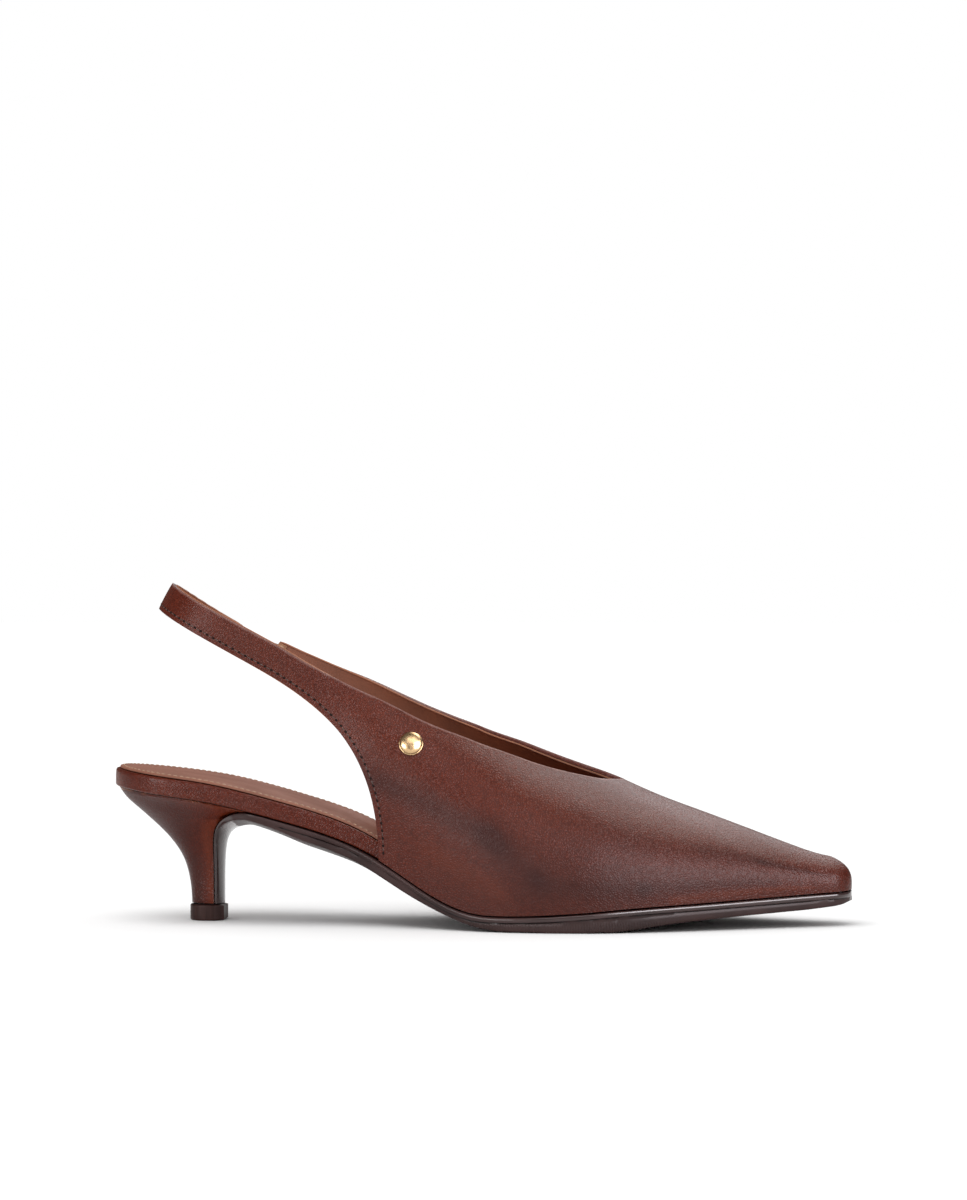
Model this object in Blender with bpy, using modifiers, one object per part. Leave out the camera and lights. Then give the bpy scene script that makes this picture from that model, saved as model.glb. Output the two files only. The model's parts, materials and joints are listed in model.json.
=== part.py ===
"""Slingback pump with a kitten heel, right shoe, as separate solids.

Units are metres. +X points to the toe, +Y to the inner (medial) side, +Z up from the floor. While the pieces
are made, X = 0 is the back of the heel seat and Y = 0 the middle of the heel. At the end one empty carries
them all to the middle of their common box.
"""
import math
from bisect import bisect_right

import bmesh
import bpy
from mathutils import Matrix, Vector

# Overall sizes. SEAT_HEIGHT is the height of the last at the back, BALL_SOLE the sole under the ball
LENGTH = 0.2624
BALL_WIDTH = 0.0764
SEAT_HEIGHT = 0.0481
INSTEP_HEIGHT = 0.073
BALL_SOLE = 0.0053
TOE_SPRING = 0.0069

# Walls and clearances
WALL = 0.0018
GAP = 0.0003
BOARD_CLEARANCE = 0.0005

# Ends of the last in plan
SEAT_ROUND = 0.026
TOE_ROUND = 0.0055
TOE_SLOPE_START = 0.232
TOE_SET_BACK = 0.0068

# How sharply a section turns at its ridge, how its fullness is gathered, and how the throat opens
RIDGE_POWER = 1.3
SWELL_POWER = 1.4
THROAT_POWER = 0.55

# Throat, quarters and strap
THROAT_BACK = 0.182
CORNER_BACK = 0.0985
STRAP_START = 0.0648
STRAP_FLARE = 0.0065
STRAP_WIDTH = 0.0102
STRAP_DOME = 0.0002
STRAP_SLOPE = math.radians(28.4)
LOOP_HALF_WIDTH = 0.0247
LOOP_DEPTH = 0.0222
LOOP_BACK = 0.0181
LOOP_TURN = math.radians(176.5)
LOOP_SAG = 0.0044
STUB_TIP = 0.0554

# Elastic
ELASTIC_WIDTH = 0.0084
ELASTIC_THICKNESS = 0.0012

# Footbed
BOARD_THICKNESS = 0.0067
BOARD_THIN = 0.0034
BOARD_EDGE_ROUND = 0.0013
SOCK_THICKNESS = 0.001
SOCK_INSET = 0.0016
SMALL_BREAK = 0.0004

# Outsole
BEAD_HEIGHT = 0.0022
BEAD_REACH = 0.001
LIP = 0.0007
BEAD_START = 0.03
GRIP_RUN = 0.011
TREAD_BREAK = 0.0005
WALL_DRAFT = 0.0002
SHANK_EDGE = 0.005
SHANK_CROWN = 0.003
FLAP_EDGE = 0.0013
FLAP_CROWN = 0.0014
FLAP_REACH = 0.0003

# Heel and top lift
BREAST_TOP = 0.0515
BREAST_FOOT = 0.0366
HEEL_FOOT_PLACE = 0.0274
HEEL_FOOT_WIDTH = 0.0125
LIFT_HEIGHT = 0.0057
LIFT_LENGTH = 0.0129
LIFT_WIDTH = 0.0138
LIFT_BEVEL = 0.0004
LIFT_SETBACK = 0.0006
LIFT_CORNER = (0.22, 0.62)
LIFT_TURN = 0.45
SEAT_SETBACK = 0.0035
SEAT_OVERHANG = 0.0009

# Stud
STUD_PLACE = 0.110
STUD_HEIGHT_SHARE = 0.66
STUD_DIAMETER = 0.0082
STUD_RISE = 0.0016

# How finely the curved pieces are faceted
ROWS = 11
LOOP_STEPS = 15
VAMP_STEPS = 10
THROAT_SHARES = (0.0, 0.007, 0.028, 0.065, 0.115)
QUARTER_STEPS = 8
BACK_EDGE_STEPS = 11
SEAT_TURNS = (12, 24, 36, 48, 60, 72, 81, 90)
FLAP_STEPS = (0.0, 0.08, 0.16, 0.24, 0.32, 0.4, 0.5, 0.62, 0.75, 0.88, 1.0)
RING_STEPS = 8
TINY = 1e-9


def table(names, rows):
    """Named smooth functions of a table's first column: monotone cubics through its rows."""
    keys = [row[0] for row in rows]
    return {name: monotone(keys, [row[place + 1] for row in rows])
            for place, name in enumerate(names.split()[1:])}


def monotone(keys, values):
    """A cubic through the values that never overshoots between two of them."""
    steps = [b - a for a, b in zip(keys, keys[1:])]
    rises = [(b - a) / step for a, b, step in zip(values, values[1:], steps)]
    slopes = [rises[0]]
    for before, after in zip(rises, rises[1:]):
        slopes.append(0.0 if before * after <= 0.0 else 2.0 * before * after / (before + after))
    slopes.append(rises[-1])

    def value(key):
        key = min(max(key, keys[0]), keys[-1])
        i = min(bisect_right(keys, key), len(steps)) - 1
        step = steps[i]
        t = (key - keys[i]) / step
        return (values[i] * (1 + 2 * t) * (1 - t) ** 2 + values[i + 1] * t * t * (3 - 2 * t)
                + step * slopes[i] * t * (1 - t) ** 2 - step * slopes[i + 1] * t * t * (1 - t))

    return value


def ramp(value, low, high):
    """0 below low, 1 above high, smooth between."""
    t = min(max((value - low) / (high - low), 0.0), 1.0)
    return t * t * (3.0 - 2.0 * t)


# Plan of the last by station along the length: centre line and half width as shares of the ball width
PLAN = table("station centre half", [
    (0.00, 0.000, 0.334),
    (0.10, 0.000, 0.341),
    (0.20, -0.009, 0.332),
    (0.30, -0.026, 0.302),
    (0.38, -0.042, 0.292),
    (0.45, -0.055, 0.338),
    (0.52, -0.049, 0.424),
    (0.58, -0.026, 0.480),
    (0.65, -0.003, 0.500),
    (0.72, 0.016, 0.460),
    (0.79, 0.030, 0.376),
    (0.86, 0.041, 0.271),
    (0.92, 0.047, 0.176),
    (0.97, 0.051, 0.104),
    (1.00, 0.053, 0.080)])

# Feather line, where upper and sole meet: share of the seat's rise above the ball, and of the toe spring
FEATHER = table("station heel toe", [
    (0.000, 1.000, 0.00),
    (0.060, 0.951, 0.00),
    (0.142, 0.883, 0.00),
    (0.199, 0.803, 0.00),
    (0.243, 0.731, 0.00),
    (0.285, 0.658, 0.00),
    (0.326, 0.571, 0.00),
    (0.360, 0.474, 0.00),
    (0.405, 0.307, 0.00),
    (0.432, 0.199, 0.00),
    (0.460, 0.101, 0.00),
    (0.487, 0.038, 0.00),
    (0.515, 0.000, 0.00),
    (0.582, 0.000, 0.05),
    (0.649, 0.000, 0.21),
    (0.715, 0.000, 0.42),
    (0.814, 0.000, 0.62),
    (0.913, 0.000, 0.82),
    (1.000, 0.000, 1.00)])

# Section of the last: crest height above the feather line as a share of the instep height, place of the ridge
# and outward swell of the wall as shares of the ball width
SECTION = table("station crest ridge swell", [
    (0.20, 1.000, 0.030, 0.058),
    (0.30, 1.000, 0.034, 0.091),
    (0.38, 1.000, 0.040, 0.126),
    (0.44, 1.000, 0.048, 0.117),
    (0.485, 0.966, 0.053, 0.104),
    (0.534, 0.879, 0.060, 0.090),
    (0.576, 0.793, 0.065, 0.080),
    (0.625, 0.703, 0.066, 0.071),
    (0.668, 0.633, 0.066, 0.066),
    (0.694, 0.585, 0.066, 0.063),
    (0.743, 0.496, 0.064, 0.056),
    (0.797, 0.416, 0.061, 0.048),
    (0.850, 0.336, 0.058, 0.040),
    (0.904, 0.253, 0.055, 0.030),
    (0.957, 0.178, 0.053, 0.019),
    (1.000, 0.146, 0.053, 0.012)])

# Height of the open edge at the throat and collar as a share of the crest height, by its place as a share of
# the throat's. Past the last row the throat closes to its point
TOPLINE_ROWS = [
    (0.274, 0.885, 0.846),
    (0.304, 0.864, 0.823),
    (0.346, 0.833, 0.802),
    (0.404, 0.788, 0.785),
    (0.447, 0.767, 0.779),
    (0.499, 0.757, 0.782),
    (0.545, 0.770, 0.792),
    (0.591, 0.784, 0.814),
    (0.642, 0.804, 0.843),
    (0.698, 0.841, 0.884),
    (0.770, 0.875, 0.929),
    (0.829, 0.893, 0.959),
    (0.901, 0.921, 0.980),
    (0.930, 0.935, 0.986),
    (0.962, 0.948, 0.990)]
TOPLINE = table("place lateral medial", TOPLINE_ROWS)

# Back edge of a quarter from the feather line (0) up to the strap's lower edge (1), both ways
QUARTER_EDGE_PULLS = ((-0.010, 0.525), (0.365, 0.775))

# Thickness of the wrapped board from heel to toe, as a share between its thin and its full thickness
BOARD = table("station full", [
    (0.00, 1.00),
    (0.36, 1.00),
    (0.50, 0.20),
    (0.60, 0.00)])

# Visible thickness of the sole's edge in the waist as a share of SHANK_EDGE, and the crown of its underside
# as a share of SHANK_CROWN
WAIST = table("station edge crown", [
    (0.196, 0.54, 1.05),
    (0.235, 0.66, 1.10),
    (0.263, 0.90, 1.10),
    (0.300, 0.97, 1.05),
    (0.345, 1.02, 0.80),
    (0.405, 1.09, 0.35),
    (0.430, 0.96, 0.20),
    (0.460, 0.80, 0.09),
    (0.487, 0.80, 0.02),
    (0.515, 0.98, 0.00),
    (0.525, 1.06, 0.00)])
TREAD_START = 0.525

# Rise of the tread towards the toe as a share of the sole's top at the toe
TOE_LIFT = table("station rise", [
    (0.690, 0.00),
    (0.720, 0.06),
    (0.747, 0.16),
    (0.814, 0.31),
    (0.880, 0.39),
    (0.945, 0.49),
    (0.985, 0.60),
    (1.000, 0.72)])

# Rings of the heel by the place of their front edge along the breast (0 at the shank, 1 at the top lift):
# height of the ring's back as a share of the seat height, place of its back as a share of the foot's, swell
# from the foot's half width (0) to the seat's (1), front width as a share of the widest, and how round its
# plan is
HEEL_ROWS = [
    (0.08, 0.915, 0.142, 0.907, 0.920, 0.60),
    (0.22, 0.846, 0.285, 0.766, 0.860, 0.70),
    (0.34, 0.736, 0.496, 0.510, 0.840, 0.85),
    (0.43, 0.644, 0.664, 0.313, 0.840, 0.95),
    (0.54, 0.551, 0.800, 0.172, 0.860, 1.00),
    (0.65, 0.445, 0.916, 0.079, 0.890, 1.00),
    (0.83, 0.277, 0.989, 0.025, 0.930, 1.00),
    (1.00, 0.125, 1.000, 0.000, 0.970, 1.00)]
HEEL = table("front height back swell width round", HEEL_ROWS)
SEAT_BACK_SHARE = 0.036

# The curve from the shank down to the straight part of the breast: pulls as shares of its run and its drop,
# and the height where it turns straight as a share of the seat height
BREAST_PULLS = ((0.54, 0.0), (1.0, 0.33))
BREAST_STRAIGHT = 0.582

# The last: feather line, plan and sections


def share(x):
    return x / LENGTH


def feather(x):
    """Height of the sole's top at x."""
    heel = FEATHER["heel"](share(x))
    toe = FEATHER["toe"](share(x))
    return BALL_SOLE + (SEAT_HEIGHT - BALL_SOLE) * heel + TOE_SPRING * toe


def station_list():
    """Places along the last from the toe's tip to the back of the seat, and how far each end is squeezed."""
    toe_turn = LENGTH - WALL - TOE_ROUND
    stations = [(toe_turn + TOE_ROUND * math.sin(a), math.cos(a))
                for a in (math.radians(90 - 15 * step) for step in range(6))]
    stations += [(x, 1.0) for x in spread(toe_turn, THROAT_BACK, VAMP_STEPS)]
    stations += [(x, 1.0) for x in throat_spread()[1:]]
    stations += [(x, 1.0) for x in spread(CORNER_BACK, BREAST_TOP, QUARTER_STEPS)[1:]]
    stations += [(x, 1.0) for x in spread(BREAST_TOP, SEAT_ROUND, 3)[1:]]
    seat_reach = SEAT_ROUND + BOARD_CLEARANCE
    stations += [(SEAT_ROUND - seat_reach * math.sin(a), math.cos(a))
                 for a in (math.radians(turn) for turn in SEAT_TURNS)]
    return [(x, 0.0 if squeeze < TINY else squeeze) for x, squeeze in stations]


def spread(start, end, steps):
    return [start + (end - start) * step / steps for step in range(steps + 1)]


def throat_spread():
    """Stations from the throat's point to the corner of the quarters, close together behind the point."""
    parts = list(THROAT_SHARES) + spread(0.18, 1.0, QUARTER_STEPS)
    return [THROAT_BACK + (CORNER_BACK - THROAT_BACK) * part for part in parts]


STATIONS = station_list()


def place_at(x):
    """Which station stands at x."""
    return next(place for place, (spot, _) in enumerate(STATIONS) if abs(spot - x) < TINY)


def side_sign(side):
    return -1.0 if side == "lateral" else 1.0


def outline_point(side, x, squeeze):
    """A point of the last's feather edge in plan."""
    half = PLAN["half"](share(x)) * squeeze
    return Vector(((x, (PLAN["centre"](share(x)) + side_sign(side) * half) * BALL_WIDTH)))


def outline(side):
    """The last's feather edge with its outward normals, from the toe to the back of the seat."""
    points = [outline_point(side, x, squeeze) for x, squeeze in STATIONS]
    normals = []
    for place, point in enumerate(points):
        before = points[max(place - 1, 0)]
        after = points[min(place + 1, len(points) - 1)]
        along = (after - before).normalized()
        normals.append(Vector((along.y, -along.x)) * side_sign(side))
    normals[0] = Vector((1.0, 0.0))
    normals[-1] = Vector((-1.0, 0.0))
    return list(zip(points, normals))


EDGES = {side: outline(side) for side in ("lateral", "medial")}


def edge(side, place, offset):
    """The feather edge at one station, moved outwards by the offset."""
    point, normal = EDGES[side][place]
    return point + normal * offset


def edge_y(side, x, offset):
    """Y of the feather edge at x, moved outwards by the offset, away from the two ends."""
    step = 0.001 * LENGTH
    before = outline_point(side, x - step, 1.0).y
    after = outline_point(side, x + step, 1.0).y
    slope = (after - before) / (2.0 * step)
    return outline_point(side, x, 1.0).y + side_sign(side) * offset * math.hypot(1.0, slope)


def crest(x):
    return SECTION["crest"](share(x)) * INSTEP_HEIGHT


def ridge(x):
    return SECTION["ridge"](share(x)) * BALL_WIDTH


def inward(angle):
    """How far a section has come from the feather edge to the ridge at an angle from 0 to 90 degrees."""
    return 1.0 - max(math.cos(angle), 0.0) ** RIDGE_POWER


def swell(x, angle):
    """Outward fullness of the wall, none at the feather edge and the crest."""
    return SECTION["swell"](share(x)) * BALL_WIDTH * max(math.sin(2.0 * angle), 0.0) ** SWELL_POWER


def wall_point(side, x, angle):
    """The upper's outer face behind the throat, in the section at x."""
    foot = edge_y(side, x, WALL)
    y = foot + (ridge(x) - foot) * inward(angle) + side_sign(side) * swell(x, angle)
    loop = side_sign(side) * LOOP_HALF_WIDTH
    y += (loop - y) * (1.0 - ramp(x, STRAP_START, CORNER_BACK + STRAP_FLARE))
    return Vector((x, y, feather(x) + GAP + crest(x) * math.sin(angle)))


def wall_angle(x, z):
    """The section angle at which the upper's outer face stands at height z."""
    return math.asin(min(max((z - feather(x) - GAP) / crest(x), 0.0), 1.0))


def vamp_column(side, place):
    """Feather edge to crest before the throat. Towards the toe the column leans back over the toe's end."""
    x, squeeze = STATIONS[place]
    foot = edge(side, place, WALL)
    tip = LENGTH - WALL
    lean = TOE_SET_BACK * max(0.0, (x - TOE_SLOPE_START) / (tip - TOE_SLOPE_START)) ** 2
    top = x - lean
    normal = EDGES[side][place][1]
    base = feather(foot.x) + GAP
    height = feather(top) + GAP + crest(top) - base
    fall = (crest(top + 0.002) - crest(top - 0.002)) / 0.004
    column = []
    for row in range(ROWS + 1):
        angle = math.radians(90.0) * row / ROWS
        out = swell(x, angle)
        px = foot.x + (top - foot.x) * (1.0 - math.cos(angle)) + out * normal.x
        py = foot.y + (ridge(top) - foot.y) * inward(angle) + out * normal.y
        pz = base + height * math.sin(angle) + fall * (px - top) * math.sin(angle) ** 2
        column.append(Vector((px, py, pz)))
    column[-1] = Vector((top, ridge(top), base + height))
    return column


def topline_angle(side, x):
    """Section angle of the open edge. Just behind the throat's point it opens as a rounded V."""
    place = x / THROAT_BACK
    open_angle = math.asin(TOPLINE[side](place))
    open_end = TOPLINE_ROWS[-1][0]
    if place <= open_end:
        return open_angle
    closed = math.radians(90.0)
    return closed - (closed - open_angle) * ((1.0 - place) / (1.0 - open_end)) ** THROAT_POWER


def wall_column(side, low, high):
    """A column on the outer face between two (x, angle) places."""
    reach = (high[0] - low[0], high[1] - low[1])
    return [wall_point(side, low[0] + reach[0] * row / ROWS, low[1] + reach[1] * row / ROWS)
            for row in range(ROWS + 1)]


def quarter_columns(side):
    """Columns from the throat back to the corner of the quarter at the feather edge."""
    collar_start = CORNER_BACK + 0.35 * (THROAT_BACK - CORNER_BACK)
    columns = []
    for x in throat_spread():
        back = (THROAT_BACK - x) / (THROAT_BACK - CORNER_BACK)
        top = THROAT_BACK + (collar_start - THROAT_BACK) * back
        columns.append(wall_column(side, (x, 0.0), (top, topline_angle(side, top))))
    return columns, collar_start


def band_ends(side, x):
    """Lower and upper (x, z) of the strap's band whose upper corner stands at x on the topline."""
    high = Vector((x, feather(x) + GAP + crest(x) * math.sin(topline_angle(side, x))))
    across = Vector((math.sin(STRAP_SLOPE), math.cos(STRAP_SLOPE)))
    return high - across * STRAP_WIDTH, high


def back_edge_columns(side, collar_start):
    """Columns from the quarter's corner up its back edge to the start of the strap."""
    low_end, high_end = band_ends(side, STRAP_START)
    corner = Vector((CORNER_BACK, feather(CORNER_BACK) + GAP))
    reach = low_end - corner
    pulls = [corner + Vector((reach.x * run, reach.y * rise)) for run, rise in QUARTER_EDGE_PULLS]
    columns = []
    for step in range(1, BACK_EDGE_STEPS + 1):
        t = step / BACK_EDGE_STEPS
        low = bezier(corner, pulls[0], pulls[1], low_end, t)
        top = collar_start + (high_end.x - collar_start) * t
        low_angle = wall_angle(low.x, low.y)
        columns.append(wall_column(side, (low.x, low_angle), (top, topline_angle(side, top))))
    return columns


def bezier(a, b, c, d, t):
    return a * (1 - t) ** 3 + b * 3 * t * (1 - t) ** 2 + c * 3 * t * t * (1 - t) + d * t ** 3


def stub_columns():
    """The inner quarter's band from the strap's start to its tip."""
    columns = []
    for x in spread(STRAP_START, STUB_TIP, 2)[1:]:
        low, high = band_ends("medial", x)
        ends = [(end.x, wall_angle(end.x, end.y)) for end in (low, high)]
        columns.append(wall_column("medial", ends[0], ends[1]))
    return columns


def band_frame():
    """Middle of the strap at its start and the direction across its band."""
    low, high = band_ends("lateral", STRAP_START)
    middle = (low + high) / 2.0
    across = Vector((math.sin(STRAP_SLOPE), 0.0, math.cos(STRAP_SLOPE)))
    return Vector((middle.x, 0.0, middle.y)), across


def loop_points():
    """Middle line of the strap, with the direction outwards: straight back, then round behind the heel."""
    start, _ = band_frame()
    turn = LOOP_BACK + LOOP_DEPTH
    plan = [(x, 0.0) for x in spread(start.x, turn, 3)[1:]]
    plan += [(turn - LOOP_DEPTH * math.sin(a), a) for a in spread(0.0, LOOP_TURN, LOOP_STEPS)[1:]]
    points = []
    for x, angle in plan:
        sag = LOOP_SAG * ramp(angle, math.radians(70.0), math.radians(180.0))
        z = start.z + (start.x - x) * math.tan(STRAP_SLOPE) - sag
        out = Vector((-math.sin(angle) * LOOP_HALF_WIDTH, -math.cos(angle) * LOOP_DEPTH, 0.0)).normalized()
        points.append((Vector((x, -LOOP_HALF_WIDTH * math.cos(angle), z)), out))
    return points


def strap_columns():
    """The strap's band, flat where it leaves the quarter and a little domed from there on."""
    _, across = band_frame()
    columns = []
    for middle, out in loop_points():
        column = []
        for row in range(ROWS + 1):
            place = row / ROWS - 0.5
            dome = STRAP_DOME * (1.0 - 4.0 * place * place)
            column.append(middle + across * STRAP_WIDTH * place + out * dome)
        columns.append(column)
    return columns


# Mesh helpers


class Body:
    """Collects points and faces, with equal points shared and collapsed faces left out."""

    def __init__(self):
        self.mesh = bmesh.new()
        self.known = {}

    def point(self, place):
        key = tuple(round(value * 1e7) for value in place)
        if key not in self.known:
            self.known[key] = self.mesh.verts.new(place)
        return self.known[key]

    def face(self, places):
        corners = []
        for place in places:
            vertex = self.point(place)
            if vertex not in corners:
                corners.append(vertex)
        if len(corners) > 2:
            self.mesh.faces.new(corners)

    def finish(self, name, closed, colour, roughness, metallic=0.0, smooth_angle=40.0):
        if closed:
            bmesh.ops.recalc_face_normals(self.mesh, faces=self.mesh.faces)
            if self.mesh.calc_volume(signed=True) < 0.0:
                bmesh.ops.reverse_faces(self.mesh, faces=self.mesh.faces)
        data = bpy.data.meshes.new(name)
        self.mesh.to_mesh(data)
        self.mesh.free()
        return add_object(name, data, colour, roughness, metallic, smooth_angle)


def add_object(name, data, colour, roughness, metallic, smooth_angle):
    data.shade_smooth()
    data.set_sharp_from_angle(angle=math.radians(smooth_angle))
    thing = bpy.data.objects.new(name, data)
    bpy.data.collections["slingback_pump"].objects.link(thing)
    material = bpy.data.materials.new(name)
    material.use_nodes = True
    shader = material.node_tree.nodes["Principled BSDF"]
    shader.inputs["Base Color"].default_value = (*colour, 1.0)
    shader.inputs["Roughness"].default_value = roughness
    shader.inputs["Metallic"].default_value = metallic
    data.materials.append(material)
    return thing


def loft(body, stations):
    """Skins a row of sections, each a (lateral, medial) pair of point lists from the top to the bottom."""
    for (left, right), (next_left, next_right) in zip(stations, stations[1:]):
        for k in range(len(left) - 1):
            body.face((left[k], next_left[k], next_left[k + 1], left[k + 1]))
            body.face((right[k + 1], next_right[k + 1], next_right[k], right[k]))
        body.face((right[0], next_right[0], next_left[0], left[0]))
        body.face((left[-1], next_left[-1], next_right[-1], right[-1]))
    for left, right in (stations[0], stations[-1]):
        for k in range(len(left) - 1):
            body.face((left[k], left[k + 1], right[k + 1], right[k]))


# The pieces


def make_upper():
    throat = place_at(THROAT_BACK)
    medial, collar_start = quarter_columns("medial")
    lateral, _ = quarter_columns("lateral")
    columns = stub_columns()[::-1]
    columns += back_edge_columns("medial", collar_start)[::-1]
    columns += medial[:0:-1]
    columns += [vamp_column("medial", place) for place in range(throat, 0, -1)]
    columns += [vamp_column("lateral", place) for place in range(throat + 1)]
    columns += lateral[1:]
    columns += back_edge_columns("lateral", collar_start)
    columns += strap_columns()
    body = Body()
    for this, after in zip(columns, columns[1:]):
        for row in range(ROWS):
            body.face((this[row], this[row + 1], after[row + 1], after[row]))
    upper = body.finish("upper", False, (0.13, 0.045, 0.028), 0.42, smooth_angle=50.0)
    add_wall(upper, WALL)
    return upper


def add_wall(thing, thickness):
    wall = thing.modifiers.new("wall", "SOLIDIFY")
    wall.thickness = thickness
    wall.offset = -1.0
    wall.use_even_offset = True
    wall.use_quality_normals = True


def make_elastic():
    """Webbing between the strap's end and the inner quarter's tip, let into the middle of the wall."""
    _, across = band_frame()
    strap_end, _ = loop_points()[-1]
    low, high = band_ends("medial", STUB_TIP)
    tip = (low + high) / 2.0
    tip_y = wall_point("medial", tip.x, wall_angle(tip.x, tip.y)).y
    quarter_end = Vector((tip.x, tip_y, tip.y))
    along = (quarter_end - strap_end).normalized()
    inset = (WALL - ELASTIC_THICKNESS) / 2.0
    start = strap_end + along * GAP - Vector((0.0, inset, 0.0))
    end = quarter_end - along * GAP - Vector((0.0, inset, 0.0))
    body = Body()
    steps = 6
    edges = []
    for step in range(steps + 1):
        middle = start.lerp(end, step / steps)
        edges.append((middle - across * ELASTIC_WIDTH / 2.0, middle + across * ELASTIC_WIDTH / 2.0))
    for (low_a, high_a), (low_b, high_b) in zip(edges, edges[1:]):
        body.face((low_a, high_a, high_b, low_b))
    elastic = body.finish("elastic", False, (0.05, 0.02, 0.015), 0.8)
    add_wall(elastic, ELASTIC_THICKNESS)
    return elastic


def board_thickness(x):
    return BOARD_THIN + (BOARD_THICKNESS - BOARD_THIN) * BOARD["full"](share(x)) - GAP


def board_profile(side, place):
    """Side of the wrapped board from its rounded top edge to its underside."""
    x = STATIONS[place][0]
    thick = board_thickness(x)
    turn = BOARD_EDGE_ROUND
    corners = [(turn, thick)]
    corners += [(turn * (1.0 - math.sin(a)), thick - turn * (1.0 - math.cos(a)))
                for a in (math.radians(45.0), math.radians(90.0))]
    corners += [(0.0, SMALL_BREAK), (SMALL_BREAK, 0.0)]
    points = []
    for inset, height in corners:
        spot = edge(side, place, -BOARD_CLEARANCE - inset)
        points.append(Vector((spot.x, spot.y, feather(spot.x) + GAP + height)))
    return points


def make_insole():
    body = Body()
    loft(body, [tuple(board_profile(side, place) for side in EDGES) for place in range(len(STATIONS))])
    return body.finish("insole", True, (0.17, 0.065, 0.04), 0.5)


def sock_profile(side, place):
    x = STATIONS[place][0]
    base = GAP + board_thickness(x) + GAP
    points = []
    for inset, height in ((SMALL_BREAK, SOCK_THICKNESS), (0.0, SOCK_THICKNESS - SMALL_BREAK), (0.0, 0.0)):
        spot = edge(side, place, -BOARD_CLEARANCE - SOCK_INSET - inset)
        points.append(Vector((spot.x, spot.y, feather(spot.x) + base + height)))
    return points


def make_sock():
    body = Body()
    loft(body, [tuple(sock_profile(side, place) for side in EDGES) for place in range(len(STATIONS))])
    return body.finish("sock", True, (0.36, 0.19, 0.11), 0.6)


def breast_path(q):
    """Back face of the flap in the middle plane: round from the shank's end, then straight down."""
    top = Vector((BREAST_TOP, 0.0, feather(BREAST_TOP)))
    straight = Vector((BREAST_FOOT, 0.0, BREAST_STRAIGHT * SEAT_HEIGHT))
    if q <= 0.5:
        reach = straight - top
        first, second = (top + Vector((reach.x * run, 0.0, reach.z * drop)) for run, drop in BREAST_PULLS)
        return bezier(top, first, second, straight, q / 0.5)
    foot = Vector((BREAST_FOOT, 0.0, LIFT_HEIGHT + GAP))
    return straight.lerp(foot, (q - 0.5) / 0.5)


def breast_normal(q):
    """Direction away from the heel, square to the flap's back face."""
    step = 0.004
    along = breast_path(min(q + step, 1.0)) - breast_path(max(q - step, 0.0))
    along.normalize()
    return Vector((-along.z, 0.0, along.x))


def heel_half(q):
    """Half width of the heel's front edge at a place along the breast."""
    foot = HEEL_FOOT_WIDTH / 2.0
    seat = outline_half(BREAST_TOP) - SEAT_OVERHANG
    low = (foot + (seat - foot) * HEEL["swell"](q)) * HEEL["width"](q)
    first = HEEL_ROWS[0][0]
    return seat + (low - seat) * ramp(q, 0.0, first) if q < first else low


def outline_half(x):
    """Half width of the board away from its round ends."""
    return PLAN["half"](share(x)) * BALL_WIDTH - BOARD_CLEARANCE


def tread(x):
    """Height of the sole's lower edge at x."""
    s = share(x)
    if s < TREAD_START:
        return max(0.0, feather(x) - SHANK_EDGE * WAIST["edge"](s))
    return TOE_LIFT["rise"](s) * (BALL_SOLE + TOE_SPRING)


def sole_profile(top, down, out, half_edge, low, depth, crown, reach):
    """One side of the sole from its top edge, round the bead and down the lower wall, to its middle."""
    points = []
    bead = min(BEAD_HEIGHT, 0.6 * depth)
    foot = reach + WALL_DRAFT
    corners = [(reach, 0.0), (0.3 * reach, 0.15 * bead), (0.0, 0.5 * bead), (0.3 * reach, 0.85 * bead),
               (reach, bead), (foot, depth - TREAD_BREAK), (foot + TREAD_BREAK, depth)]
    for inset, drop in corners:
        points.append(top + out * (half_edge - inset) + down * drop)
    lowest = corners[-1][0]
    for part in (0.66, 0.33, 0.0):
        width = (half_edge - lowest) * part
        points.append(top + out * width + down * (depth + crown * (1.0 - part * part)))
    points[-1] = low
    return points


def sole_station(place):
    """Section of the sole at a station of the last, upright."""
    x = STATIONS[place][0]
    grip = ramp(x, CORNER_BACK - GRIP_RUN, CORNER_BACK)
    toe = ramp(share(x), 0.9, 1.0)
    offset = -BOARD_CLEARANCE + (BOARD_CLEARANCE + WALL + LIP * (1.0 - toe)) * grip
    down = Vector((0.0, 0.0, -1.0))
    step = ramp(x, BREAST_TOP, BREAST_TOP + BEAD_START)
    spots = {side: edge(side, place, offset) for side in EDGES}
    middle = (spots["lateral"] + spots["medial"]) / 2.0
    crown = SHANK_CROWN * WAIST["crown"](share(x))
    low = Vector((middle.x, middle.y, tread(middle.x) - crown))
    sides = []
    for side, spot in spots.items():
        top = Vector((spot.x, middle.y, feather(spot.x)))
        depth = top.z - tread(spot.x)
        out = Vector((0.0, side_sign(side), 0.0))
        half = abs(spot.y - middle.y)
        reach = (FLAP_REACH + (BEAD_REACH - FLAP_REACH) * step) * ramp(half, 0.0, TOE_ROUND)
        sides.append(sole_profile(top, down, out, half, low, depth, crown, reach))
    return tuple(sides)


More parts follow.
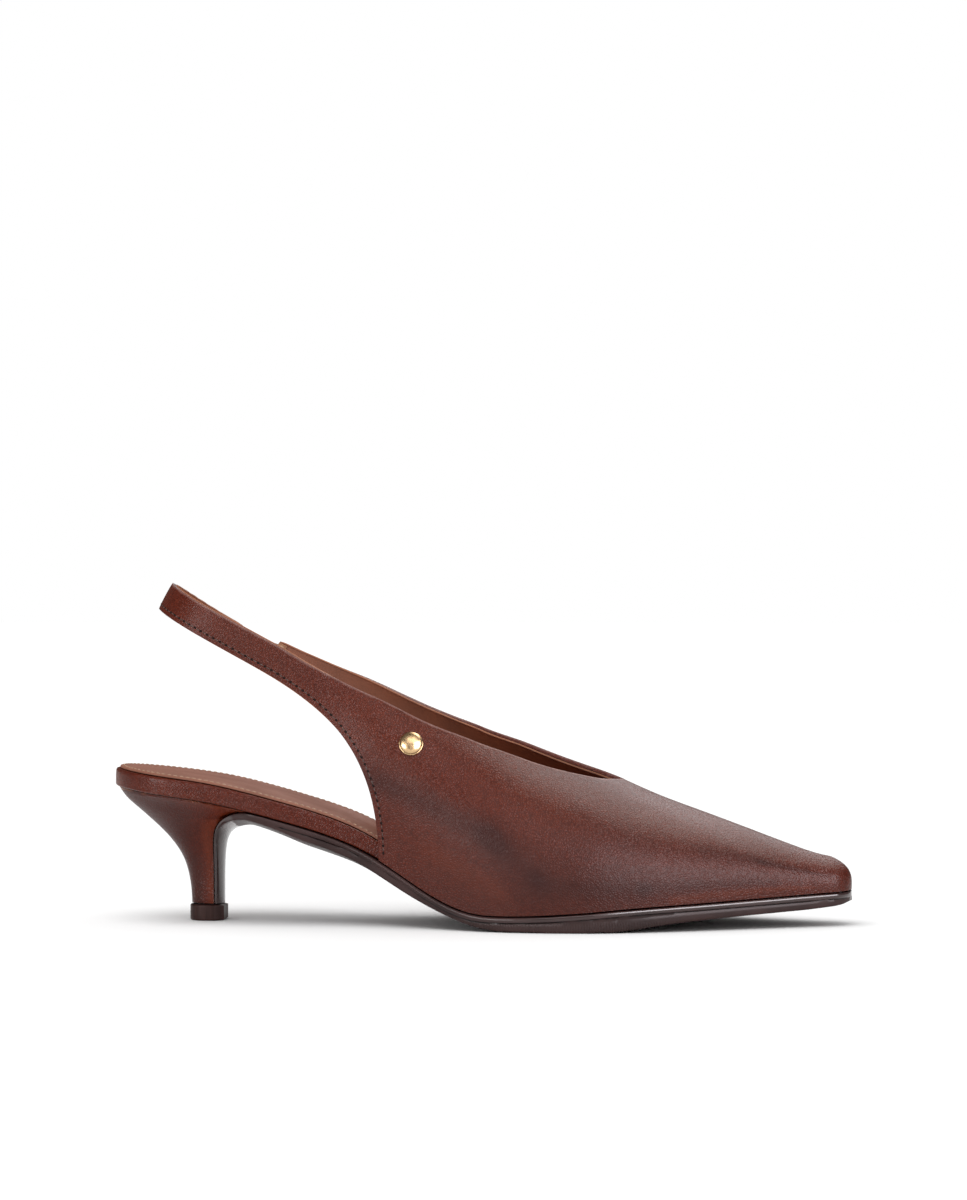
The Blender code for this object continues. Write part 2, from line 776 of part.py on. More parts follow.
def flap_station(q):
    """Section of the flap, square to the heel's breast."""
    start = ramp(q, 0.0, 0.45)
    down = breast_normal(q)
    centre = breast_path(q)
    centre_y = PLAN["centre"](share(BREAST_TOP)) * BALL_WIDTH * (1.0 - ramp(q, 0.0, 0.3))
    centre = Vector((centre.x, centre_y, centre.z))
    shank = SHANK_EDGE * WAIST["edge"](share(BREAST_TOP))
    depth = shank + (FLAP_EDGE - shank) * start
    crown = SHANK_CROWN + (FLAP_CROWN - SHANK_CROWN) * ramp(q, 0.25, 0.7)
    half = heel_half(q) + SEAT_OVERHANG * (1.0 - ramp(q, 0.0, 0.2))
    low = centre + down * (depth + crown)
    sides = []
    for side in ("lateral", "medial"):
        out = Vector((0.0, side_sign(side), 0.0))
        sides.append(sole_profile(centre, down, out, half, low, depth, crown, FLAP_REACH))
    return tuple(sides)


def make_outsole():
    last_place = place_at(BREAST_TOP)
    sections = [sole_station(place) for place in range(last_place)]
    sections += [flap_station(q) for q in FLAP_STEPS]
    body = Body()
    loft(body, sections)
    return body.finish("outsole", True, (0.035, 0.026, 0.024), 0.45)


def heel_ring(q):
    """D-shaped ring of the heel from the outer front corner, round the back, to the inner front corner."""
    foot = HEEL_FOOT_WIDTH / 2.0
    seat = outline_half(BREAST_TOP) - SEAT_OVERHANG
    half = foot + (seat - foot) * HEEL["swell"](q)
    front_half = heel_half(q)
    front = breast_path(q) - breast_normal(q) * GAP
    back = Vector((HEEL["back"](q) * HEEL_FOOT_PLACE, 0.0, HEEL["height"](q) * SEAT_HEIGHT))
    if q == 1.0:
        back.z = front.z
    return d_ring(front, back, half, front_half, HEEL["round"](q))


def d_ring(front, back, half, front_half, power):
    lateral = []
    medial = []
    for step in range(RING_STEPS + 1):
        turn = math.radians(90.0) * step / RING_STEPS
        part = math.sin(turn)
        wide = front_half + (half - front_half) * max(math.sin(2.0 * turn), 0.0) ** 0.8
        y = wide * max(math.cos(turn), 0.0) ** power if step < RING_STEPS else 0.0
        place = front.lerp(back, part)
        lateral.append(Vector((place.x, -y, place.z)))
        medial.append(Vector((place.x, y, place.z)))
    return lateral, medial


def seat_ring():
    """Top ring of the heel, under the board and a little inside its edge."""
    back = SEAT_BACK_SHARE * HEEL_FOOT_PLACE
    front = BREAST_TOP - SEAT_SETBACK
    lateral = []
    medial = []
    for step in range(RING_STEPS + 1):
        part = math.sin(math.radians(90.0) * step / RING_STEPS)
        x = front + (back - front) * part
        full_x = front * (1.0 - part)
        squeeze = math.sqrt(max(0.0, 1.0 - max(0.0, 1.0 - full_x / SEAT_ROUND) ** 2))
        half = (outline_half(full_x) - SEAT_OVERHANG) * squeeze
        centre = PLAN["centre"](share(x)) * BALL_WIDTH
        lateral.append(Vector((x, centre - half, feather(x))))
        medial.append(Vector((x, centre + half, feather(x))))
    return lateral, medial


def make_heel():
    rings = [seat_ring()] + [heel_ring(row[0]) for row in HEEL_ROWS]
    body = Body()
    for (left, right), (next_left, next_right) in zip(rings, rings[1:]):
        for k in range(len(left) - 1):
            body.face((left[k], left[k + 1], next_left[k + 1], next_left[k]))
            body.face((right[k + 1], right[k], next_right[k], next_right[k + 1]))
        body.face((left[0], next_left[0], next_right[0], right[0]))
    for left, right in (rings[0], rings[-1]):
        for k in range(len(left) - 1):
            body.face((left[k], left[k + 1], right[k + 1], right[k]))
    return body.finish("heel", True, (0.15, 0.055, 0.034), 0.45)


def make_top_lift():
    """Rubber tip: a D in plan with its two front corners cut off."""
    back = HEEL_FOOT_PLACE - LIFT_SETBACK
    half = LIFT_WIDTH / 2.0
    front = back + LIFT_LENGTH
    turn = back + LIFT_TURN * LIFT_LENGTH
    cut = front - LIFT_CORNER[0] * LIFT_LENGTH
    narrow = LIFT_CORNER[1] * half
    plan = [(turn - (turn - back) * math.sin(a), -half * math.cos(a))
            for a in (math.radians(15.0 * step) for step in range(13))]
    plan += [(cut, half), (front, narrow), (front, -narrow), (cut, -half)]
    body = Body()
    low = [Vector((x, y, 0.0)) for x, y in plan]
    high = [Vector((x, y, LIFT_HEIGHT)) for x, y in plan]
    body.face(low)
    body.face(high)
    for k in range(len(plan)):
        after = (k + 1) % len(plan)
        body.face((low[k], low[after], high[after], high[k]))
    lift = body.finish("top_lift", True, (0.05, 0.03, 0.025), 0.55)
    bevel = lift.modifiers.new("edge", "BEVEL")
    bevel.width = LIFT_BEVEL
    bevel.segments = 1
    bevel.limit_method = "ANGLE"
    bevel.angle_limit = math.radians(60.0)
    return lift


def make_stud():
    """A plain dome on the outer quarter, its flat back to the leather."""
    angle = math.asin(STUD_HEIGHT_SHARE)
    foot = wall_point("lateral", STUD_PLACE, angle)
    step = 0.002
    along = wall_point("lateral", STUD_PLACE + step, angle) - wall_point("lateral", STUD_PLACE - step, angle)
    upward = wall_point("lateral", STUD_PLACE, angle + 0.03) - wall_point("lateral", STUD_PLACE, angle - 0.03)
    normal = along.cross(upward).normalized()
    if normal.y > 0.0:
        normal.negate()
    bm = bmesh.new()
    bmesh.ops.create_uvsphere(bm, u_segments=20, v_segments=10, radius=STUD_DIAMETER / 2.0)
    below = [v for v in bm.verts if v.co.z < -1e-6]
    bmesh.ops.delete(bm, geom=below, context="VERTS")
    bmesh.ops.scale(bm, vec=(1.0, 1.0, STUD_RISE / (STUD_DIAMETER / 2.0)), verts=bm.verts)
    rim = [e for e in bm.edges if e.is_boundary]
    bmesh.ops.holes_fill(bm, edges=rim)
    bmesh.ops.recalc_face_normals(bm, faces=bm.faces)
    turn = normal.to_track_quat("Z", "Y").to_matrix().to_4x4()
    bmesh.ops.transform(bm, matrix=Matrix.Translation(foot + normal * 1.7 * GAP) @ turn, verts=bm.verts)
    data = bpy.data.meshes.new("stud")
    bm.to_mesh(data)
    bm.free()
    return add_object("stud", data, (0.72, 0.52, 0.28), 0.22, 1.0, 40.0)


def carry_to_middle(pieces):
    """Parents every piece to one empty that stands the shoe over the middle of its own box."""
    bpy.context.view_layer.update()
    depsgraph = bpy.context.evaluated_depsgraph_get()
    corners = []
    for piece in pieces:
        solid = piece.evaluated_get(depsgraph)
        corners += [vertex.co.copy() for vertex in solid.to_mesh().vertices]
        solid.to_mesh_clear()
    middle = [(min(c[axis] for c in corners) + max(c[axis] for c in corners)) / 2.0 for axis in range(2)]
    carrier = bpy.data.objects.new("carrier", None)
    bpy.data.collections["slingback_pump"].objects.link(carrier)
    carrier.location = (-middle[0], -middle[1], 0.0)
    for piece in pieces:
        piece.parent = carrier


def main():
    for thing in list(bpy.data.objects):
        bpy.data.objects.remove(thing, do_unlink=True)
    parts = bpy.data.collections.new("slingback_pump")
    bpy.context.scene.collection.children.link(parts)
    pieces = [make_upper(), make_elastic(), make_insole(), make_sock(), make_outsole(), make_heel(),
              make_top_lift(), make_stud()]
    carry_to_middle(pieces)


main()
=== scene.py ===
"""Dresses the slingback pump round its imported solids.

Everything is in metres. +X points to the toe, -Y to the outer side that faces the camera, +Z up.
"""
import json
import math

import bpy
from bpy.props import FloatProperty, FloatVectorProperty, IntProperty, PointerProperty
from mathutils import Matrix, Vector
from mathutils.bvhtree import BVHTree
from mathutils.kdtree import KDTree

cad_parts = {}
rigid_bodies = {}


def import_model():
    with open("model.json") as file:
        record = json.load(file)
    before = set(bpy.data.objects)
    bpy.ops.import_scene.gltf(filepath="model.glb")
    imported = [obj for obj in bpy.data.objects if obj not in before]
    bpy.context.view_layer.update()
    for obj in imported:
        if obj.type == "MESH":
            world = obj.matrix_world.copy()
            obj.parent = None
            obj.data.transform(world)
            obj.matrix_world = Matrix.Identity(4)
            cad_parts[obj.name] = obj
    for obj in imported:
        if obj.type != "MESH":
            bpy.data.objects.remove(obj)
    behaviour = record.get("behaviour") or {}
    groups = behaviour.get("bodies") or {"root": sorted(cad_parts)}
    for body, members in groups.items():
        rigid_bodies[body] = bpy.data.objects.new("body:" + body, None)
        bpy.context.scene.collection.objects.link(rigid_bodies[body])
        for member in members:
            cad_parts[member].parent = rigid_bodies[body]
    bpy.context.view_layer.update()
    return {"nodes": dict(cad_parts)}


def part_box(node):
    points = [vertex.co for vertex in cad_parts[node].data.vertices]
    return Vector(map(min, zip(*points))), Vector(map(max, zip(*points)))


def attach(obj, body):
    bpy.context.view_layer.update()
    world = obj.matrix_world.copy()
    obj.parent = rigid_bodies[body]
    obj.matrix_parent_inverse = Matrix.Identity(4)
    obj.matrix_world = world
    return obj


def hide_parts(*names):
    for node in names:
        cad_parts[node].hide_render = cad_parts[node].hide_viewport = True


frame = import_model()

bl_info = {
    "name": "Slingback Pump",
    "version": (1, 0, 0),
    "blender": (4, 5, 0),
    "location": "View3D > Sidebar > Pump",
    "description": "Models the dressed pieces of a slingback pump and a plain studio for it",
    "category": "Object",
}

MM = 0.001
DOWN = Vector((0.0, 0.0, -1.0))
ABOVE = 0.01
LONG_RAY = 0.2


# Selecting and finishing

def only(*pieces):
    """Deselects everything, then selects these pieces and makes the first active."""
    bpy.ops.object.select_all(action="DESELECT")
    for piece in pieces:
        piece.select_set(True)
    bpy.context.view_layer.objects.active = pieces[0]


def edit(piece, kind="FACE"):
    """Opens a piece in edit mode with nothing selected."""
    only(piece)
    bpy.ops.object.mode_set(mode="EDIT")
    bpy.ops.mesh.select_mode(type=kind)
    bpy.ops.mesh.select_all(action="DESELECT")


def leave():
    bpy.ops.object.mode_set(mode="OBJECT")


def pick_faces(piece, test):
    """Leaves the piece in edit mode with the faces selected that pass the test."""
    edit(piece)
    leave()
    for face in piece.data.polygons:
        face.select = test(face)
    bpy.ops.object.mode_set(mode="EDIT")


def pick_edges(piece, places):
    """Leaves the piece in edit mode with these edges selected."""
    edit(piece, "EDGE")
    leave()
    for line in piece.data.edges:
        line.select = line.index in places
    bpy.ops.object.mode_set(mode="EDIT")


def pick_sharp(piece, degrees):
    """Leaves the piece in edit mode with its sharp edges selected."""
    edit(piece, "EDGE")
    bpy.ops.mesh.edges_select_sharp(sharpness=math.radians(degrees))


def bevel_picked(offset, segments):
    bpy.ops.mesh.bevel(offset=offset, segments=segments, profile=0.5, affect="EDGES", clamp_overlap=True)
    leave()


def modify(piece, kind, **settings):
    """Adds a modifier and applies it."""
    only(piece)
    made = piece.modifiers.new(kind.lower(), kind)
    for key, value in settings.items():
        setattr(made, key, value)
    bpy.ops.object.modifier_apply(modifier=made.name)


def subdivide(piece, levels=2):
    modify(piece, "SUBSURF", levels=levels, render_levels=levels)


def smooth(piece, degrees=40.0):
    only(piece)
    bpy.ops.object.shade_smooth_by_angle(angle=math.radians(degrees))


def finish_piece(piece, name, material):
    """Names a piece, dresses it and lets it ride on the shoe."""
    piece.name = name
    piece.data.name = name
    piece.data.materials.clear()
    piece.data.materials.append(material)
    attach(piece, "root")


def new_shape(maker, **settings):
    """A new primitive, lamp or camera, added with nothing selected."""
    bpy.ops.object.select_all(action="DESELECT")
    maker(**settings)
    return bpy.context.object


def apply_scale(piece, *scale):
    """Applies the piece's own turn and this scale along its axes."""
    bpy.ops.object.transform_apply(location=True, rotation=True, scale=True)
    piece.scale = scale
    bpy.ops.object.transform_apply(location=True, rotation=True, scale=True)


def link_new(name, mesh):
    made = bpy.data.objects.new(name, mesh)
    bpy.context.scene.collection.objects.link(made)
    return made


def copy_of(node_name, name):
    """A merged copy of a CAD solid, with its triangles joined to quads."""
    piece = link_new(name, frame["nodes"][node_name].data.copy())
    only(piece)
    bpy.ops.mesh.customdata_custom_splitnormals_clear()
    bpy.ops.object.mode_set(mode="EDIT")
    bpy.ops.mesh.select_all(action="SELECT")
    bpy.ops.mesh.remove_doubles(threshold=0.02 * MM)
    widest = math.radians(120)
    bpy.ops.mesh.tris_convert_to_quads(face_threshold=widest, shape_threshold=widest)
    leave()
    return piece


def rounded_copy(node_name, sharp, offset, segments=1):
    """A copy of a CAD solid with its sharp edges broken and its facets rounded."""
    piece = copy_of(node_name, node_name + "_copy")
    pick_sharp(piece, sharp)
    bevel_picked(offset, segments)
    subdivide(piece)
    smooth(piece)
    return piece


def hold_edges(piece, sharp, crease):
    """Rounds a piece's facets and holds its sharp edges."""
    pick_sharp(piece, sharp)
    bpy.ops.transform.edge_crease(value=crease)
    leave()
    subdivide(piece)
    smooth(piece)


# Lines on the surfaces

def faces_by_edge(mesh):
    """The faces beside each edge of a mesh."""
    sides = {}
    for face in mesh.polygons:
        for key in face.edge_keys:
            sides.setdefault(key, []).append(face)
    return sides


def border_of(piece):
    """The points of an open sheet's single border, in order."""
    links = {}
    for (a, b), faces in faces_by_edge(piece.data).items():
        if len(faces) == 1:
            links.setdefault(a, []).append(b)
            links.setdefault(b, []).append(a)
    start = min(links)
    walk = [start, links[start][0]]
    while walk[-1] != start:
        a, b = links[walk[-1]]
        walk.append(a if b == walk[-2] else b)
    return [piece.data.vertices[place].co.copy() for place in walk[:-1]]


def corners_of(loop, limit):
    """Places in a closed loop where it turns by more than the limit."""
    found = []
    for place, point in enumerate(loop):
        before = point - loop[place - 1]
        after = loop[(place + 1) % len(loop)] - point
        if before.angle(after) > limit:
            found.append(place)
    return found


def stretch(loop, start, end, avoid):
    """The part of a closed loop from one corner to another, on the side that misses a third."""
    count = len(loop)
    ahead = [(start + step) % count for step in range((end - start) % count + 1)]
    back = [(start - step) % count for step in range((start - end) % count + 1)]
    way = back if avoid in ahead else ahead
    return [loop[place] for place in way]


def smooth_curve(points, steps=12):
    """A smooth curve through the given points, cut in fine steps."""
    fine = []
    last = len(points) - 1
    for place in range(last):
        a, b = points[max(place - 1, 0)], points[place]
        c, d = points[place + 1], points[min(place + 2, last)]
        for step in range(steps):
            t = step / steps
            fine.append(0.5 * (2 * b + (c - a) * t + (2 * a - 5 * b + 4 * c - d) * t * t
                               + (3 * b - a - 3 * c + d) * t ** 3))
    fine.append(points[last])
    return fine


def evenly(points, pitch):
    """Points at an even pitch along a smooth curve through the given ones, ends included."""
    fine = smooth_curve(points)
    runs = [0.0]
    for a, b in zip(fine, fine[1:]):
        runs.append(runs[-1] + (b - a).length)
    count = max(int(round(runs[-1] / pitch)), 1)
    even = []
    place = 0
    for step in range(count + 1):
        run = runs[-1] * step / count
        while place < len(fine) - 2 and runs[place + 1] < run:
            place += 1
        gap = max(runs[place + 1] - runs[place], 1e-9)
        even.append(fine[place].lerp(fine[place + 1], min((run - runs[place]) / gap, 1.0)))
    return even


def between(a, b, steps=8):
    return [a.lerp(b, step / steps) for step in range(steps + 1)]


def within(value, low=0.0, high=1.0):
    return min(max(value, low), high)


def tree_of(points):
    tree = KDTree(len(points))
    for place, point in enumerate(points):
        tree.insert(point, place)
    tree.balance()
    return tree


def paint(piece, name, values):
    """Stores a value at each vertex as an attribute for the materials."""
    piece.data.attributes.new(name, "FLOAT", "POINT").data.foreach_set("value", values)


def mark_distance(piece, name, points):
    """Paints each vertex's distance from a line of points."""
    tree = tree_of(points)
    paint(piece, name, [tree.find(vertex.co)[2] for vertex in piece.data.vertices])


def surface_of(*pieces):
    """One search tree over the faces of some pieces."""
    points = []
    faces = []
    for piece in pieces:
        start = len(points)
        points += [vertex.co.copy() for vertex in piece.data.vertices]
        faces += [[start + place for place in face.vertices] for face in piece.data.polygons]
    return BVHTree.FromPolygons(points, faces)


def sew_on(model, places, name, material):
    """Copies of a small modelled piece, one at each place, joined and dressed as one piece."""
    copies = []
    for place in places:
        mesh = model.data.copy()
        mesh.transform(place)
        copies.append(link_new(name, mesh))
    bpy.data.objects.remove(model)
    only(*copies)
    bpy.ops.object.join()
    finish_piece(copies[0], name, material)
    return copies[0]


def small_ball(length, width, height):
    """A lozenge for a thread or a hole, its length along X and its height along Z."""
    ball = new_shape(bpy.ops.mesh.primitive_uv_sphere_add, segments=8, ring_count=6, radius=0.5,
                     rotation=(0, math.pi / 2, 0))
    apply_scale(ball, length, width, height)
    only(ball)
    bpy.ops.object.shade_smooth()
    return ball


def axes(x, y, z):
    """The turn that brings the three axes to these directions."""
    return Matrix((x, y, z)).transposed().to_4x4()


def standing(point, along, normal, lift):
    """A placing matrix: X along a line, Z out of the surface, lifted a little."""
    z = normal.normalized()
    x = (along - z * along.dot(z)).normalized()
    return Matrix.Translation(point + z * lift) @ axes(x, z.cross(x), z)


# Node trees

def node(tree, kind, inputs=None, **settings):
    """A shader node with its settings, and its inputs linked or set."""
    made = tree.nodes.new("ShaderNode" + kind)
    for key, value in settings.items():
        setattr(made, key, value)
    for key, value in (inputs or {}).items():
        if isinstance(value, bpy.types.NodeSocket):
            tree.links.new(value, made.inputs[key])
        else:
            made.inputs[key].default_value = value
    return made


def maths(tree, operation, a, b=0.0, clamp=False):
    return node(tree, "Math", {0: a, 1: b}, operation=operation, use_clamp=clamp).outputs[0]


def times(tree, a, b, clamp=False):
    return maths(tree, "MULTIPLY", a, b, clamp)


def vector_maths(tree, operation, inputs):
    return node(tree, "VectorMath", inputs, operation=operation).outputs[0]


def noise(tree, vector, scale, detail=2.0, **more):
    return node(tree, "TexNoise", {"Vector": vector, "Scale": scale, "Detail": detail, **more}).outputs["Fac"]


def mapped(tree, vector, **change):
    return node(tree, "Mapping", {"Vector": vector, **change}).outputs[0]


def blend_colours(tree, share, a, b):
    return node(tree, "Mix", {0: share, 6: a, 7: b}, data_type="RGBA").outputs[2]


def band(tree, value, low, high, start=0.0, end=1.0):
    """A smooth step of a value between two limits."""
    limits = {"Value": value, "From Min": low, "From Max": high, "To Min": start, "To Max": end}
    return node(tree, "MapRange", limits, interpolation_type="SMOOTHSTEP").outputs["Result"]


def new_group(name, inputs, outputs):
    """An empty shader node group with its sockets, and its input and output nodes."""
    tree = bpy.data.node_groups.new(name, "ShaderNodeTree")
    for label, kind, value in inputs:
        made = tree.interface.new_socket(name=label, in_out="INPUT", socket_type="NodeSocket" + kind)
        if value is not None:
            made.default_value = value
    for label, kind in outputs:
        tree.interface.new_socket(name=label, in_out="OUTPUT", socket_type="NodeSocket" + kind)
    return tree, tree.nodes.new("NodeGroupInput").outputs, tree.nodes.new("NodeGroupOutput").inputs


def burnish_group():
    """Antiqued leather colour: cloudy light and dark, warm patches and a fine mottle."""
    tree, given, put = new_group(
        "burnish",
        [("Vector", "Vector", None), ("Base", "Color", (0.1, 0.03, 0.02, 1)),
         ("Dark", "Color", (0.04, 0.01, 0.01, 1)), ("Warm", "Color", (0.13, 0.03, 0.01, 1)),
         ("Cloud Scale", "Float", 26.0), ("Warmth", "Float", 0.7)],
        [("Color", "Color"), ("Tone", "Float")])
    drawn = mapped(tree, given["Vector"], Rotation=(0.0, 0.35, 0.0), Scale=(0.45, 1.0, 1.0))
    moved = vector_maths(tree, "ADD", {0: drawn, 1: (0.31, 0.17, 0.53)})
    cloud = noise(tree, drawn, given["Cloud Scale"], Roughness=0.45, Distortion=0.2)
    other = noise(tree, moved, times(tree, given["Cloud Scale"], 0.8), Roughness=0.5, Distortion=0.3)
    fine = noise(tree, given["Vector"], 420.0, 4.0, Roughness=0.7)
    dark = band(tree, cloud, 0.42, 0.68)
    warm = times(tree, band(tree, other, 0.48, 0.70), given["Warmth"])
    colour = blend_colours(tree, times(tree, dark, 0.45), given["Base"], given["Dark"])
    colour = blend_colours(tree, warm, colour, given["Warm"])
    mottle = band(tree, fine, 0.3, 0.7, 0.86, 1.13)
    tree.links.new(vector_maths(tree, "SCALE", {0: colour, "Scale": mottle}), put["Color"])
    tree.links.new(dark, put["Tone"])
    return tree


def grain_group():
    """Fine pebbled leather grain, a little slanted, as a height and a mask of its valleys."""
    tree, given, put = new_group(
        "grain", [("Vector", "Vector", None), ("Size", "Float", 1500.0)],
        [("Height", "Float"), ("Valley", "Float")])
    turned = mapped(tree, given["Vector"], Rotation=(0.5, 0.6, 0.9), Scale=(1.0, 0.8, 1.0))
    wander = node(tree, "TexNoise", {"Vector": turned, "Scale": 700.0, "Detail": 2.0}).outputs["Color"]
    shift = vector_maths(tree, "SCALE", {0: wander, "Scale": 0.0009})
    warped = vector_maths(tree, "ADD", {0: turned, 1: shift})
    cells = node(tree, "TexVoronoi", {"Vector": warped, "Scale": given["Size"]},
                 feature="DISTANCE_TO_EDGE").outputs["Distance"]
    pebble = times(tree, band(tree, cells, 0.0, 0.32), 0.6)
    broad = times(tree, noise(tree, turned, 380.0, 3.0, Roughness=0.6), 0.8)
    tree.links.new(maths(tree, "ADD", pebble, broad), put["Height"])
    tree.links.new(band(tree, cells, 0.16, 0.02), put["Valley"])
    return tree


def edge_mask_group():
    """Edge line: a mask that is full at the edge and fades over a width, broken up by noise, for lighter cut
    edges and for the painted highlight on the upper's folded edge.
    """
    tree, given, put = new_group(
        "cut_edge_and_highlight", [("Vector", "Vector", None), ("Distance", "Float", 1.0), ("Width", "Float", 0.001)],
        [("Mask", "Float")])
    broken = band(tree, noise(tree, given["Vector"], 260.0, 3.0), 0.3, 0.7, 0.75, 1.25)
    share = maths(tree, "DIVIDE", given["Distance"], times(tree, given["Width"], broken))
    tree.links.new(maths(tree, "SUBTRACT", 1.0, share, clamp=True), put["Mask"])
    return tree


GROUPS = {"burnish": burnish_group, "grain": grain_group, "cut_edge_and_highlight": edge_mask_group}


def place_group(tree, name, **inputs):
    """Puts a shared group in a material with its own values."""
    shared = bpy.data.node_groups.get(name) or GROUPS[name]()
    return node(tree, "Group", inputs, node_tree=shared).outputs


def new_material(name, **constants):
    """A material with one Principled shader, its constant values set on the shader."""
    material = bpy.data.materials.new(name)
    material.use_nodes = True
    tree = material.node_tree
    tree.nodes.clear()
    shader = node(tree, "BsdfPrincipled")
    node(tree, "OutputMaterial", {"Surface": shader.outputs[0]})
    for key, value in constants.items():
        shader.inputs[key.replace("_", " ")].default_value = value
    return material, tree, shader


def here(tree):
    return node(tree, "TexCoord").outputs["Object"]


def read(tree, name):
    return node(tree, "Attribute", attribute_name=name, attribute_type="GEOMETRY").outputs["Fac"]


def dress(tree, shader, colour, roughness=None, height=None, depth=0.0, strength=1.0):
    """Feeds a shader its colour, its roughness and a bump of some millimetres."""
    tree.links.new(colour, shader.inputs["Base Color"])
    if roughness:
        tree.links.new(roughness, shader.inputs["Roughness"])
    if height:
        relief = node(tree, "Bump", {"Height": height, "Strength": strength, "Distance": depth * MM})
        tree.links.new(relief.outputs[0], shader.inputs["Normal"])


def rgba(colour, strength=1.0):
    return (*(part * strength for part in colour), 1.0)


def grained(name, shade, tones, scale, detail=2.0, steps=(0.3, 0.7), polish=None, spread=(0.3, 0.7),
            depth=None, drawn=None, **constants):
    """A material whose colour, roughness and relief follow one noise, between two strengths of its shade."""
    material, tree, shader = new_material(name, **constants)
    vector = mapped(tree, here(tree), **drawn) if drawn else here(tree)
    value = noise(tree, vector, scale, detail)
    share = band(tree, value, *steps) if steps else value
    colour = blend_colours(tree, share, *(rgba(shade, tone) for tone in tones))
    roughness = band(tree, value, *spread, *polish) if polish else None
    dress(tree, shader, colour, roughness, value if depth else None, depth or 0.0)
    return material


VALLEY_SHARE = 0.6
SHADE_AND_SHEEN_SHARE = 0.8
PAINTED_SHEEN_STRENGTH = 1.5


def leather(name, rim=None, rim_colour=None, rim_width=0.9, shade_and_sheen_streaks=False, cloud=14.0, warmth=0.5,
            roughness=(0.34, 0.42)):
    """Burnished calf with pebbled grain, with painted shade and sheen streaks where asked, and an edge line
    where the piece has a distance attribute, a painted highlight on the upper's folded edge.
    """
    material, tree, shader = new_material(name, Specular_IOR_Level=0.19)
    shades = colours()
    dark = rgba(shades.leather_dark)
    vector = here(tree)
    tone = place_group(tree, "burnish", **{"Vector": vector, "Base": rgba(shades.leather), "Dark": dark,
                                           "Warm": rgba(shades.leather_warm), "Cloud Scale": cloud,
                                           "Warmth": warmth})
    skin = place_group(tree, "grain", Vector=vector, Size=1150.0)
    colour = blend_colours(tree, times(tree, skin["Valley"], VALLEY_SHARE), tone["Color"], dark)
    # Painted shade and sheen over the burnish: darker towards the dark brown where the streak value is
    # positive, a bright warm brown where it is negative
    if shade_and_sheen_streaks:
        burnish_shade_sheen = read(tree, "burnish_shade_sheen")
        colour = blend_colours(tree, times(tree, burnish_shade_sheen, SHADE_AND_SHEEN_SHARE, clamp=True), colour, dark)
        painted_sheen = times(tree, burnish_shade_sheen, -SHADE_AND_SHEEN_SHARE, clamp=True)
        colour = blend_colours(tree, painted_sheen, colour, rgba(shades.leather_warm, PAINTED_SHEEN_STRENGTH))
    # Edge line: a painted highlight along the upper's folded edge, and the lighter cut edge of the heel's
    # wrap
    if rim:
        edge_mask = place_group(tree, "cut_edge_and_highlight", Vector=vector, Distance=read(tree, rim), Width=rim_width * MM)
        colour = blend_colours(tree, edge_mask["Mask"], colour, rgba(rim_colour))
    dress(tree, shader, colour, band(tree, tone["Tone"], 0.0, 1.0, *roughness), skin["Height"], 0.10)
    return material


def soft_leather(name, shade, dark, cloud, grain, polish, depth, cut=None, **constants):
    """Smooth leather, a little cloudy, with a light cut edge where the piece has a distance from one."""
    material, tree, shader = new_material(name, **constants)
    vector = here(tree)
    skin = place_group(tree, "grain", Vector=vector, Size=grain)
    scale, detail, low, high = cloud
    value = noise(tree, vector, scale, detail)
    colour = blend_colours(tree, band(tree, value, low, high), rgba(shade), rgba(shade, dark))
    if cut is not None:
        edge_mask = place_group(tree, "cut_edge_and_highlight", Vector=vector, Distance=read(tree, "cut"), Width=0.5 * MM)
        colour = blend_colours(tree, edge_mask["Mask"], colour, rgba(cut))
    dress(tree, shader, colour, band(tree, value, 0.3, 0.7, *polish), skin["Height"], depth)
    return material


# Sizes and colours that a user would change

def length(name, description, default):
    return FloatProperty(name=name, description=description, default=default, min=0.0, unit="LENGTH",
                         subtype="DISTANCE", precision=5)


def colour(name, description, default):
    return FloatVectorProperty(name=name, description=description, default=default, size=3, min=0.0, max=1.0,
                               subtype="COLOR")


class PumpSizes(bpy.types.PropertyGroup):
    leather_wall: length("Leather thickness", "Thickness of the upper's folded leather", 1.4 * MM)
    lining_wall: length("Lining thickness", "How far the lining stands off the leather inside", 0.4 * MM)
    lining_drop: length("Lining drop", "How far the lining starts under the leather's edge", 1.2 * MM)
    edge_round: length("Edge round", "Rounding of the leather's folded edge", 0.5 * MM)
    stitch_inset: length("Stitch inset", "Distance of the stitch row from the edge", 1.8 * MM)
    stitch_pitch: length("Stitch pitch", "Distance from one stitch to the next", 2.6 * MM)
    thread_width: length("Thread width", "Width of a stitch's thread", 0.45 * MM)
    sock_pitch: length("Sock stitch pitch", "Distance from one footbed stitch to the next", 2.2 * MM)
    crease_depth: length("Crease depth", "Depth of the deepest soft trough in the leather", 0.3 * MM)
    stud_width: length("Stud width", "Width across the stud's collar", 7.9 * MM)
    webbing_drop: length("Webbing drop", "How much narrower the webbing is than its solid", 1.3 * MM)
    webbing_cords: IntProperty(name="Webbing cords", description="Cords side by side in the elastic",
                               default=8, min=3, max=16)


